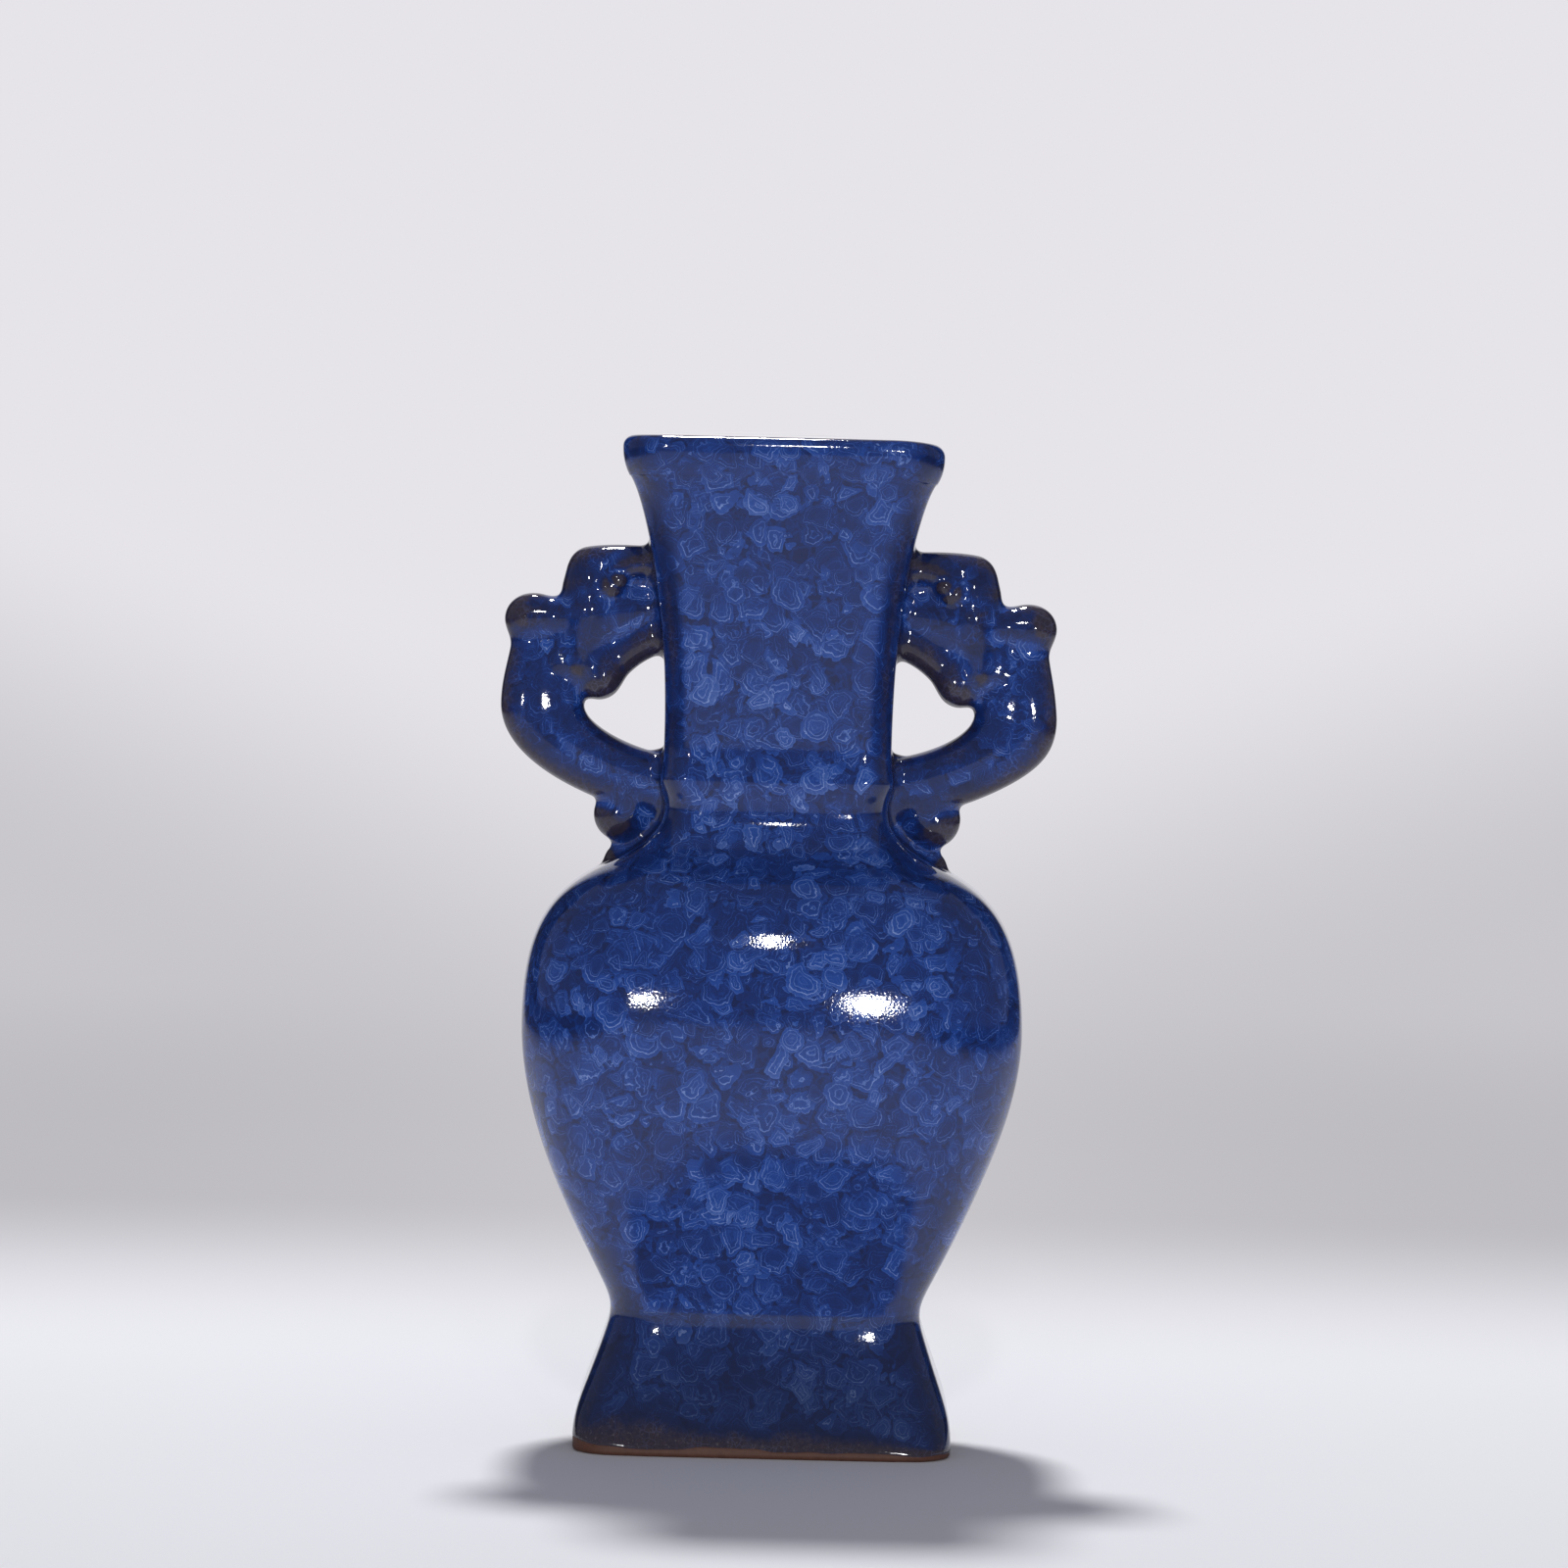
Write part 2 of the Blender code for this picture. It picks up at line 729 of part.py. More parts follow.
def mirrored_handle():
    """The left handle: each right member mirrored across the vase's middle."""
    for right in [o for o in vase.objects if o.name.startswith("right_")]:
        mesh = right.data.copy()
        mesh.transform(Matrix.Scale(-1, 4, Vector((1, 0, 0))))
        mesh.flip_normals()
        link(right.name.replace("right_", "left_"), mesh, right.data.materials[0])


foot_ring()
vessel_floor()
belly_lower()
belly_upper()
neck_collar()
neck_wall()
mouth_lip()

made = [body_envelope()]
add_roll("head", head_rings(), head_half_depth, blue_glaze, made)
add_roll("cheek_roll", cheek_rings(), cheek_half_depth, blue_glaze, made)
add_roll("jaw_roll", jaw_rings(), jaw_half_depth, brown_glaze, made)
add_roll("crest_roll", crest_rings(), crest_half_depth, blue_glaze, made)
add_roll("ear_roll", ear_rings(), ear_half_depth, brown_glaze, made)
add_roll("strap_roll", strap_rings(), strap_half_depth, blue_glaze, made)
add_roll("inner_roll", inner_rings(), inner_half_depth, brown_glaze, made)
add_member("tail_scroll", scroll_mesh, brown_glaze, made)
mirrored_handle()
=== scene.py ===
# %% [markdown]
# # A blue crackle-glazed vase with two beast handles
# The vase is a four-sided baluster in stoneware: a splayed foot, a full belly, a neck with a
# flared mouth, and a handle on each side that is modelled as a beast from rolls of clay. A thick
# cobalt glaze covers it and has cracked into layers of petal-like flakes. This lesson builds the
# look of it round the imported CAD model, which fixes where every piece is.

import math

import bpy
import numpy as np
from mathutils import Matrix, Vector


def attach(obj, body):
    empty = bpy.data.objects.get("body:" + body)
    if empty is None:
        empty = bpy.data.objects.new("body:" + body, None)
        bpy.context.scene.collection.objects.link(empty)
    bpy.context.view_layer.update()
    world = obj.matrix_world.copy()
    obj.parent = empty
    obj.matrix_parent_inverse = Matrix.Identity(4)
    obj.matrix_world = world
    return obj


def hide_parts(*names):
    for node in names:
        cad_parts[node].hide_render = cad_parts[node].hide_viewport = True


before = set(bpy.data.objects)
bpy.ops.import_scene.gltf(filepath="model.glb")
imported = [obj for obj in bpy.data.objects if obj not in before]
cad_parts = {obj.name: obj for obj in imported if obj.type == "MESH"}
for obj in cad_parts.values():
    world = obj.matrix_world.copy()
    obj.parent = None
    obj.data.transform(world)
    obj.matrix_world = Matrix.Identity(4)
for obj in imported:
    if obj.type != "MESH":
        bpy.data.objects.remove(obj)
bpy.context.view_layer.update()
scene = bpy.context.scene

# %% [markdown]
# ## Camera
# The photo looks a little down on the vase from straight in front and from far away, so the
# sides show almost no perspective. A long lens at 1.3 m gives the same view. The photo is
# turned by a little over a degree, which the camera's roll repeats.

# %% Camera
mm = 0.001
image_side = 1600
sensor_width = 36.0
camera_distance = 1300
camera_place = Vector((1.6 * mm, -camera_distance * mm, 195 * mm))
camera_target = Vector((1.6 * mm, 0.0, 150.3 * mm))
pixels_per_mm = 4.48
camera_roll = 0.0235

camera_data = bpy.data.cameras.new("camera")
camera_data.sensor_width = sensor_width
camera_data.lens = pixels_per_mm * camera_distance * sensor_width / image_side
camera = bpy.data.objects.new("camera", camera_data)
scene.collection.objects.link(camera)
look = (camera_target - camera_place).to_track_quat("-Z", "Y").to_matrix().to_4x4()
roll = Matrix.Rotation(camera_roll, 4, "Z")
camera.matrix_world = Matrix.Translation(camera_place) @ look @ roll
scene.camera = camera
scene.view_settings.view_transform = "Standard"
print("lens in mm:", round(camera_data.lens, 2))

# %% [markdown]
# ## A bench for materials
# A material is a small network of nodes. To keep the sums readable they are written here as
# Python expressions: a `Wire` wraps one output socket, and adding or multiplying wires adds the
# Math nodes. Every other node comes from the bench's one method `node`.

# %% Wires and the bench
class Wire:
    """One output socket, which takes part in sums as a number would."""

    def __init__(self, bench, socket):
        self.bench = bench
        self.socket = socket

    def __add__(self, other):
        return self.bench.sum("ADD", self, other)

    def __sub__(self, other):
        return self.bench.sum("SUBTRACT", self, other)

    def __rsub__(self, other):
        return self.bench.sum("SUBTRACT", other, self)

    def __mul__(self, other):
        return self.bench.sum("MULTIPLY", self, other)

    def __truediv__(self, other):
        return self.bench.sum("DIVIDE", self, other)

    __radd__ = __add__
    __rmul__ = __mul__


class Bench:
    """Makes one material's nodes and joins them."""

    def __init__(self, name):
        self.material = bpy.data.materials.new(name)
        self.material.use_nodes = True
        self.tree = self.material.node_tree
        self.tree.nodes.clear()

    def node(self, kind, settings=None, sockets=None, output=0):
        """Adds a node: its settings first, then what its sockets hold or are linked to."""
        made = self.tree.nodes.new(kind)
        for name, value in (settings or {}).items():
            if name == "stops":
                self.set_stops(made.color_ramp, value)
            else:
                setattr(made, name, value)
        for name, value in (sockets or {}).items():
            if isinstance(value, Wire):
                self.tree.links.new(value.socket, made.inputs[name])
            else:
                made.inputs[name].default_value = value
        if isinstance(output, tuple):
            return tuple(Wire(self, made.outputs[i]) for i in output)
        return Wire(self, made.outputs[output]) if made.outputs else made

    @staticmethod
    def set_stops(ramp, stops):
        """Gives a colour ramp its stops, each a place and a colour."""
        while len(ramp.elements) < len(stops):
            ramp.elements.new(1.0)
        for element, (place, colour) in zip(ramp.elements, stops):
            element.position = place
            element.color = (*colour, 1.0)

    def sum(self, operation, first, second):
        return self.node("ShaderNodeMath", {"operation": operation}, {0: first, 1: second})

    def wave(self, operation, value):
        return self.node("ShaderNodeMath", {"operation": operation}, {0: value})

    def move(self, operation, first, second):
        return self.node("ShaderNodeVectorMath", {"operation": operation}, {0: first, 1: second})

    def step(self, value, low, high):
        """Rises softly from 0 to 1 while the value goes from low to high."""
        sockets = {"Value": value, "From Min": low, "From Max": high}
        return self.node("ShaderNodeMapRange", {"interpolation_type": "SMOOTHSTEP"}, sockets)

    def blend(self, share, first, second):
        """Colour that goes from first to second with the share."""
        sockets = {0: share, 6: first, 7: second}
        return self.node("ShaderNodeMix", {"data_type": "RGBA"}, sockets, output=2)

    def noise(self, place, size, detail=2.0, output=0):
        """Soft noise, from 0 to 1, whose blobs have this size in metres."""
        sockets = {"Vector": place, "Scale": 1 / size, "Detail": detail}
        return self.node("ShaderNodeTexNoise", {}, sockets, output)

    def object_place(self):
        return self.node("ShaderNodeTexCoord", output=3)

    def attribute(self, name):
        return self.node("ShaderNodeAttribute", {"attribute_name": name}, output=2)

    def finish(self, surface):
        self.node("ShaderNodeOutputMaterial", {}, {"Surface": surface})
        return self.material


# %% [markdown]
# ## Table and backdrop
# The photo was taken on pale paper that runs back over the table and sweeps up behind. It is one
# strip here, level under the vase and curved well behind it. Behind the vase the paper glows with
# painted light and shade, darker low in the bend and lighter up the wall, so the lamps on the vase
# can stay at a plain level.

# %% Paper sweep
sweep_front = -1.7
sweep_start = 1.35
sweep_radius = 0.8
sweep_top = 2.6
sweep_half_width = 3.2
sweep_steps = 24
own_light_start = 0.12
own_light_end = 0.50


def paper_line():
    """Side view of the paper: level, round the sweep and up the wall."""
    points = [(sweep_front, 0.0), (sweep_start, 0.0)]
    for i in range(1, sweep_steps + 1):
        turn = math.pi / 2 * i / sweep_steps
        back = sweep_start + sweep_radius * math.sin(turn)
        points.append((back, sweep_radius * (1 - math.cos(turn))))
    points.append((points[-1][0], sweep_top))
    return points


def paper_sweep():
    line = paper_line()
    points = [(side * sweep_half_width, y, z) for side in (-1, 1) for y, z in line]
    count = len(line)
    faces = [(i, count + i, count + i + 1, i + 1) for i in range(count - 1)]
    mesh = bpy.data.meshes.new("paper_sweep")
    mesh.from_pydata(points, [], faces)
    mesh.shade_smooth()
    paper = bpy.data.objects.new("paper_sweep", mesh)
    scene.collection.objects.link(paper)
    return paper


def paper_finish():
    """Matt pale paper; the part behind glows with painted light and shade, straight or in the
    glaze.
    """
    bench = Bench("pale_paper")
    place = bench.object_place()
    mottle = bench.noise(place, 0.5, 3.0)
    pale = bench.blend(mottle, (0.80, 0.80, 0.83, 1), (0.84, 0.84, 0.87, 1))
    across, back, up = bench.node("ShaderNodeSeparateXYZ", {}, {0: place}, (0, 1, 2))
    aside = bench.wave("ABSOLUTE", across)
    off_middle = bench.step(aside, 0.45, 0.95)
    table = bench.blend(off_middle, pale, (0.10, 0.10, 0.11, 1))
    sockets = {"Base Color": table, "Roughness": 0.9, "Specular IOR Level": 0.2}
    matt = bench.node("ShaderNodeBsdfPrincipled", {}, sockets)
    # Painted light and shade on the paper behind: darker low in the bend, lighter further back and
    # up the wall, most in the middle.
    rise = bench.step(back, 0.7, sweep_start + 0.3) * 0.25
    glow = bench.step(up - aside * 0.3 + 0.04, -0.04, 0.15) * 0.75
    painted_backdrop_light = bench.blend(rise + glow, (0.51, 0.50, 0.53, 1), (0.79, 0.775, 0.815, 1))
    shine = bench.node("ShaderNodeEmission", {}, {"Color": painted_backdrop_light, "Strength": 1.0})
    straight, mirrored, through = bench.node("ShaderNodeLightPath", {}, {}, (0, 3, 6))
    seen = bench.sum("MAXIMUM", bench.sum("MAXIMUM", straight, mirrored), through)
    middle = 1 - bench.step(aside, 0.6, 1.0)
    share = bench.step(back, own_light_start, own_light_end) * middle * seen
    both = bench.node("ShaderNodeMixShader", {}, {0: share, 1: matt, 2: shine})
    return bench.finish(both)


paper = paper_sweep()
paper.data.materials.append(paper_finish())
print("paper sweep:", len(paper.data.polygons), "faces")

# %% [markdown]
# ## Light
# The highlights on the belly show three small lamps: one on each side of the camera at its own
# height, and one above it. Everything in front is dim, while the table and the paper behind are
# bright. The lamps are ovals, placed by the direction in which the glaze mirrors them. A fourth
# lamp, high up behind, throws the shadow that comes forward over the table.

# %% Lamps
lamp_target = Vector((0.0, 0.0, 0.115))


def lamp(name, azimuth, elevation, distance, width, height, power):
    """Oval lamp that looks at the vase; azimuth 0 is straight in front, 90 on the right."""
    data = bpy.data.lights.new(name, "AREA")
    data.shape = "ELLIPSE"
    data.size = width
    data.size_y = height
    data.energy = power
    a = math.radians(azimuth)
    e = math.radians(elevation)
    away = Vector((math.sin(a) * math.cos(e), -math.cos(a) * math.cos(e), math.sin(e)))
    made = bpy.data.objects.new(name, data)
    made.location = lamp_target + away * distance
    made.rotation_euler = (-away).to_track_quat("-Z", "Y").to_euler()
    scene.collection.objects.link(made)
    return made


lamp("left_lamp", -12.8, 2.3, 3.0, 0.06, 0.10, 7.5)
lamp("right_lamp", 10.3, 2.5, 3.0, 0.20, 0.21, 15.0)
lamp("top_lamp", 0.2, 27.8, 3.0, 0.09, 0.42, 11.0)
lamp("ceiling_lamp", 186.0, 64.0, 1.6, 0.20, 0.20, 22.5)

world = bpy.data.worlds.new("dim_room")
world.use_nodes = True
world.node_tree.nodes["Background"].inputs["Color"].default_value = (0.20, 0.20, 0.23, 1.0)
scene.world = world

# %% [markdown]
# ## Sizes of the body
# The body is a run of pressed sections. Each stretch of its outline is a cubic curve for the
# half width, the half depth and the height, and every level section is a rounded rectangle
# whose sides swell like a cushion's. The values are the CAD model's, apart from the front of the
# foot and the swells, which follow the highlights in the photo.

# %% Outline of the body
foot_rise = 32.0 * mm
belly_height = 95.5 * mm
shoulder_height = 143.8 * mm
collar_top = 152.0 * mm
neck_height = 160.0 * mm
lip_height = 219.5 * mm
mouth_height = 228.5 * mm
side_bulge_share = 0.6


def cubic(values, t):
    a, b, c, d = values
    s = 1 - t
    return s * s * s * a + 3 * s * s * t * b + 3 * s * t * t * c + t * t * t * d


def cubic_slope(values, t):
    a, b, c, d = values
    s = 1 - t
    return 3 * (s * s * (b - a) + 2 * s * t * (c - b) + t * t * (d - c))


def rising(start, end, low, high):
    """Four values of a cubic from start to end, with its inner two this far along."""
    rise = end - start
    return start, start + low * rise, end - high * rise, end


def ease(t):
    """Goes from 0 to 1 with level ends."""
    return t * t * (3 - 2 * t)


def between(pair, share):
    return pair[0] + (pair[1] - pair[0]) * share


pools = [
    (foot_rise, 6.3 * mm, 0.78, 0.16),
    (foot_rise, 12.0 * mm, 0.0, 0.32),
    (shoulder_height, 4.8 * mm, 0.70, 0.52),
    (lip_height, 2.6 * mm, -0.30, -0.30),
]


def pooled(height, side):
    """Glaze pooled in a crease; a pool's last two values are the wall's turns there."""
    total = 0.0
    for place, reach, width_turn, depth_turn in pools:
        near = max(1 - abs(height - place) / reach, 0.0)
        total += (width_turn, depth_turn)[side] * reach / 6 * near ** 3
    return total


class Stretch:
    """One stretch of the outline, as cubic curves; its sections come out in metres."""

    def __init__(self, heights, widths, depths, corners, bulges, flats=(2.0, 2.0)):
        self.heights = heights
        self.widths = np.array(widths) * mm
        self.depths = np.array(depths) * mm
        self.corners = np.array(corners) * mm
        self.bulges = np.array(bulges) * mm
        self.flats = flats

    def stations(self, shares, inset=0.0, bore=(0.0, 0.0)):
        """Sections at these shares of the stretch, drawn in square to the wall."""
        made = []
        for t in shares:
            share = ease(t)
            rise = max(cubic_slope(self.heights, t), 1e-6)
            width_lean = math.hypot(1, cubic_slope(self.widths, t) / rise)
            depth_lean = math.hypot(1, cubic_slope(self.depths, t) / rise)
            half_width = max(cubic(self.widths, t) - inset * width_lean, bore[0])
            half_depth = max(cubic(self.depths, t) - inset * depth_lean, bore[1])
            corner = between(self.corners, share) - inset
            bulge = between(self.bulges, share)
            flat = between(self.flats, share)
            height = cubic(self.heights, t)
            if inset == 0.0:
                half_width += pooled(height, 0)
                half_depth += pooled(height, 1)
            made.append((height, half_width, half_depth, corner, bulge, flat))
        return made


rim_round = 1.0 * mm
foot = Stretch(
    rising(rim_round, foot_rise, 0.33, 0.65),
    widths=(43.0, 43.0, 40.6, 34.3), depths=(29.6, 27.9, 27.6, 24.3),
    corners=(6.5, 9.0), bulges=(2.2, 2.4), flats=(5.0, 5.5))
lower_belly = Stretch(
    rising(foot_rise, belly_height, 0.20, 0.36),
    widths=(34.3, 39.8, 57.0, 57.0), depths=(24.3, 28.2, 40.5, 40.5),
    corners=(9.0, 21.0), bulges=(2.4, 5.2), flats=(5.5, 2.0))
upper_belly = Stretch(
    rising(belly_height, shoulder_height, 0.88, 0.36),
    widths=(57.0, 57.0, 31.4, 24.9), depths=(40.5, 40.5, 22.2, 17.8),
    corners=(21.0, 8.0), bulges=(5.2, 1.2))
collar = Stretch(
    rising(shoulder_height, collar_top, 0.35, 0.25),
    widths=(24.9, 25.4, 26.6, 26.3), depths=(17.8, 18.3, 19.5, 19.2),
    corners=(8.0, 6.0), bulges=(1.2, 0.6))
neck_foot = Stretch(
    rising(collar_top, neck_height, 0.40, 0.40),
    widths=(26.3, 25.7, 25.8, 25.8), depths=(19.2, 18.6, 18.5, 18.7),
    corners=(6.0, 6.0), bulges=(0.6, 0.6))
flare = Stretch(
    rising(neck_height, lip_height, 0.54, 0.04),
    widths=(25.8, 25.8, 32.1, 34.8), depths=(18.7, 20.7, 23.2, 25.1),
    corners=(6.0, 8.5), bulges=(0.6, 1.6), flats=(2.0, 3.0))
print("body stretches: 6, from the table to", round(lip_height / mm, 1), "mm")

# %% [markdown]
# ## Skinning the sections
# A lathe can't make a four-sided vase, so the sections are skinned: equal rings of points, one
# above the other, joined by four-cornered faces. A ring lies close to each joint, so that the
# shading runs on from one piece to the next. Hand-pressed walls are never quite true, and a
# slow wave of a fifth of a millimetre keeps the reflections alive.

# %% Sections and skins
side_points = 14
corner_points = 18
front_points = 22
wave_height = 0.09
corner_sinks = 1.0
waves = np.array([
    (0.09, 0.05, 0.11, 0.4), (-0.06, 0.10, 0.07, 2.1),
    (0.13, -0.04, -0.05, 4.4), (0.03, 0.16, -0.09, 5.3),
])


def handmade(points):
    """Moves points by the slow unevenness of a hand-pressed body, the same at every place."""
    moved = points.copy()
    x, y, z = (points / mm).T
    for i, (a, b, c, start) in enumerate(waves):
        axis = i % 2
        wave = np.sin(x * a + y * b + z * c + start) * wave_height * mm
        off_middle = np.clip(np.abs((x, y)[axis]) / 8, 0, 1)
        moved[:, axis] += wave * np.sign(points[:, axis]) * off_middle
    # The mouth's right corner has sunk a little in the kiln
    corner = np.clip((x - 24) / 12, 0, 1) ** 2 * np.clip((z - 205) / 20, 0, 1)
    moved[:, 2] -= corner_sinks * mm * corner
    return moved


def section(height, half_width, half_depth, corner, bulge, flat=2.0):
    """Ring of points round a rounded rectangle with swelling sides."""
    flat_width = half_width - bulge * side_bulge_share
    flat_depth = half_depth - bulge
    corner = min(max(corner, 0.6 * mm), 0.8 * flat_depth)
    side = np.arange(side_points) / side_points
    turn = math.pi / 2 * np.arange(corner_points) / corner_points
    front = np.arange(front_points) / front_points
    x = np.concatenate([
        np.full(side_points, flat_width),
        flat_width - corner + corner * np.cos(turn),
        (flat_width - corner) * (1 - front),
    ])
    y = np.concatenate([
        (flat_depth - corner) * side,
        flat_depth - corner + corner * np.sin(turn),
        np.full(front_points, flat_depth),
    ])
    swell_x = x * (1 + bulge * side_bulge_share / flat_width * (1 - (y / flat_depth) ** flat))
    swell_y = y * (1 + bulge / flat_depth * (1 - (x / flat_width) ** flat))
    quarter = np.stack([swell_x, swell_y], 1)
    middle = np.array([[0.0, half_depth]])
    back = np.concatenate([middle, quarter[:0:-1]])
    ring = np.concatenate([quarter, back * (-1, 1), quarter * (-1, -1), back * (1, -1)])
    return np.column_stack([ring, np.full(len(ring), height)])


def cornerness():
    """How near each point of a ring is to the middle of a corner, from 0 to 1."""
    turn = (np.arange(corner_points) / corner_points - 0.5) * 2
    quarter = np.zeros(side_points + corner_points + front_points)
    quarter[side_points:side_points + corner_points] = 1 - np.abs(turn)
    tail = np.exp(-np.arange(1, 8) / 2.5) * 0.12
    quarter[side_points - 7:side_points] = tail[::-1]
    quarter[side_points + corner_points:side_points + corner_points + 7] = tail
    back = np.concatenate([[0.0], quarter[:0:-1]])
    return np.concatenate([quarter, back, quarter, back])


ring_corner = cornerness()
ring_size = len(ring_corner)
print("points in a ring:", ring_size)


def near_joints(steps):
    """Shares up a stretch: even steps, with one close to each end for the joint."""
    even = np.linspace(0, 1, steps + 1)
    return np.concatenate([[0.0, 0.15 / steps], even[1:-1], [1 - 0.15 / steps, 1.0]])


# %% [markdown]
# ## Pieces of the body
# Each piece stands for one member of the CAD model, and each is one closed skin: up the outside,
# over and down the inside. Two values are kept at every point for the glaze: how thin it has
# run there, with painted dark at tight corners and painted shade on the handles, and how far the
# point lies above its lower edge, in millimetres.

# %% From stations to pieces
sharp_angle = 40
well_above = 50.0
keen_corner = 7.0 * mm


def put_values(mesh, name, values):
    """Keeps one number at every point of a mesh, for the material to read."""
    attribute = mesh.attributes.new(name, "FLOAT", "POINT")
    attribute.data.foreach_set("value", np.ascontiguousarray(values, dtype=np.float32))


def make_piece(name, points, faces, thin, above_edge):
    mesh = bpy.data.meshes.new(name)
    mesh.from_pydata(points.tolist(), [], faces)
    mesh.shade_smooth()
    mesh.set_sharp_from_angle(angle=math.radians(sharp_angle))
    put_values(mesh, "thin", thin)
    put_values(mesh, "above_edge", above_edge)
    piece = bpy.data.objects.new(name, mesh)
    scene.collection.objects.link(piece)
    return piece


def skin(name, stations, hollow=True, thin_share=None):
    """Skins stations into a closed piece; a hollow one joins its last ring to its first."""
    rings = [section(*s) for s in stations]
    count = len(rings)
    points = np.concatenate(rings)
    faces = []
    for r in range(count if hollow else count - 1):
        low = r * ring_size
        high = (r + 1) % count * ring_size
        for i in range(ring_size):
            j = (i + 1) % ring_size
            faces.append((low + i, low + j, high + j, high + i))
    if not hollow:
        faces.append(tuple(range(ring_size))[::-1])
        faces.append(tuple((count - 1) * ring_size + i for i in range(ring_size)))
    corners = np.array([s[3] for s in stations])
    # Tight corners count as thin glaze, and also carry a painted dark reflection of the dim room.
    corner_thin_and_painted_dark = np.clip(keen_corner / np.maximum(corners, 1 * mm), 0, 1) * 0.58
    thin = (corner_thin_and_painted_dark[:, None] * ring_corner[None, :]).ravel()
    if thin_share is not None:
        thin = np.maximum(thin, np.repeat(thin_share, ring_size))
    above_edge = np.full(len(points), well_above)
    return make_piece(name, handmade(points), faces, thin, above_edge)


wall = 4.5 * mm
foot_wall = 5.5 * mm
neck_wall_thickness = 4.2 * mm
neck_bore = (flare.widths[0] - neck_wall_thickness, flare.depths[0] - neck_wall_thickness)
inner_top = 0.93  # the share of the flare where the neck's inside meets the lip's


def bored(height):
    """Section of the neck's bore at a height."""
    return height, *neck_bore, 1.8 * mm, 0.6 * mm


# %% [markdown]
# ## Foot
# The foot stands on a rim of bare russet clay. The glaze stops a few millimetres above the table
# in a wavy line, and it is about a quarter of a millimetre thick there. The height above that
# line is kept at each point, so the material knows clay from glaze, and the glaze stands proud.

# %% Foot ring
rim_steps = 6
glaze_thickness = 0.22
glaze_edge_width = 0.35
below_glaze = -5.0


def glaze_line(points):
    """Height of the glaze's lower edge round the foot, higher at the left corner."""
    turn = np.arctan2(points[:, 1], points[:, 0])
    line = 1.9 + 0.35 * np.sin(3 * turn + 0.7) + 0.25 * np.sin(7 * turn + 2.0)
    line += 0.14 * np.sin(17 * turn + 4.0) + 0.08 * np.sin(31 * turn + 1.0)
    left = np.clip((-points[:, 0] / mm - 30) / 12, 0, 1)
    return (line + 1.3 * left) * mm


def foot_ring():
    rim = []
    start = (foot.corners[0], foot.bulges[0], foot.flats[0])
    for i in range(rim_steps):
        turn = math.pi / 2 * i / rim_steps
        back = rim_round * (1 - math.sin(turn))
        height = rim_round * (1 - math.cos(turn))
        rim.append((height, foot.widths[0] - back, foot.depths[0] - back, *start))
    fine = np.linspace(0, 0.22, 25)
    outside = foot.stations(np.concatenate([fine, np.linspace(0.24, 0.97, 28), [0.993, 1.0]]))
    inside = foot.stations(np.linspace(1, 0, 16), foot_wall)
    inside.append((0.0, *inside[-1][1:]))
    stations = rim + outside + inside
    piece = skin("foot_ring_skin", stations)
    mesh = piece.data
    count = len(mesh.vertices)
    points = np.zeros(count * 3)
    mesh.vertices.foreach_get("co", points)
    points = points.reshape(-1, 3)
    above = (points[:, 2] - glaze_line(points)) / mm
    outer_count = (len(rim) + len(outside)) * ring_size
    above[outer_count:] = below_glaze
    body = ease(np.clip(above / glaze_edge_width + 0.5, 0, 1))
    outward = points * (1, 1, 0)
    outward /= np.maximum(np.linalg.norm(outward, axis=1, keepdims=True), 1e-9)
    bare = (1 - body) * glaze_thickness * mm
    points -= outward * bare[:, None] * (np.arange(count) < outer_count)[:, None]
    mesh.vertices.foreach_set("co", points.ravel())
    mesh.attributes["above_edge"].data.foreach_set("value", above.astype(np.float32))
    thin = np.zeros(count, np.float32)
    mesh.attributes["thin"].data.foreach_get("value", thin)
    turn = np.arctan2(points[:, 1], points[:, 0])
    reach = 6.5 - 3.5 * points[:, 0] / mm / 40
    reach += 1.4 * np.sin(5 * turn + 1.0) + 0.8 * np.sin(13 * turn)
    low = np.clip(1.1 - (points[:, 2] / mm - 2) / reach, 0, 1)
    mesh.attributes["thin"].data.foreach_set("value", np.maximum(thin, low).astype(np.float32))
    mesh.update()
    return piece


# %% [markdown]
# ## Belly, collar, neck and lip
# The belly is pressed in two sections, and the floor is a slab inside it. The collar is a band
# round the joint of the neck, and the lip a rounded strip on the flare. All are skinned in the
# same way, and the inside is skinned too, because the mouth shows it from above.

# %% The other body pieces
def vessel_floor():
    _, half_width, half_depth, corner, bulge, _ = lower_belly.stations([0.0], wall + 0.3 * mm)[0]
    bottom = foot_rise + 0.3 * mm
    top = bottom + 5.0 * mm
    stations = [(bottom, half_width, half_depth, corner, bulge)]
    for i in range(7):
        turn = math.pi / 2 * i / 6
        back = 1.2 * mm * (1 - math.cos(turn))
        height = top - 1.2 * mm * (1 - math.sin(turn))
        stations.append((height, half_width - back, half_depth - back, corner, bulge))
    # The slab was pressed down a little in its middle
    for share in (0.85, 0.6, 0.35, 0.12):
        dip = 0.8 * mm * (1 - share) ** 0.5
        sizes = (half_width * share, half_depth * share, corner * share, bulge * share)
        stations.append((top - dip, *sizes))
    return skin("vessel_floor_slab", stations, hollow=False)


def belly_lower():
    outside = lower_belly.stations(near_joints(66))
    inside = lower_belly.stations(np.linspace(1, 0, 34), wall)
    return skin("belly_lower_skin", outside + inside)


def belly_upper():
    outside = upper_belly.stations(near_joints(60))
    inside = upper_belly.stations(np.linspace(1, 0, 34), wall, neck_bore)
    return skin("belly_upper_skin", outside + inside)


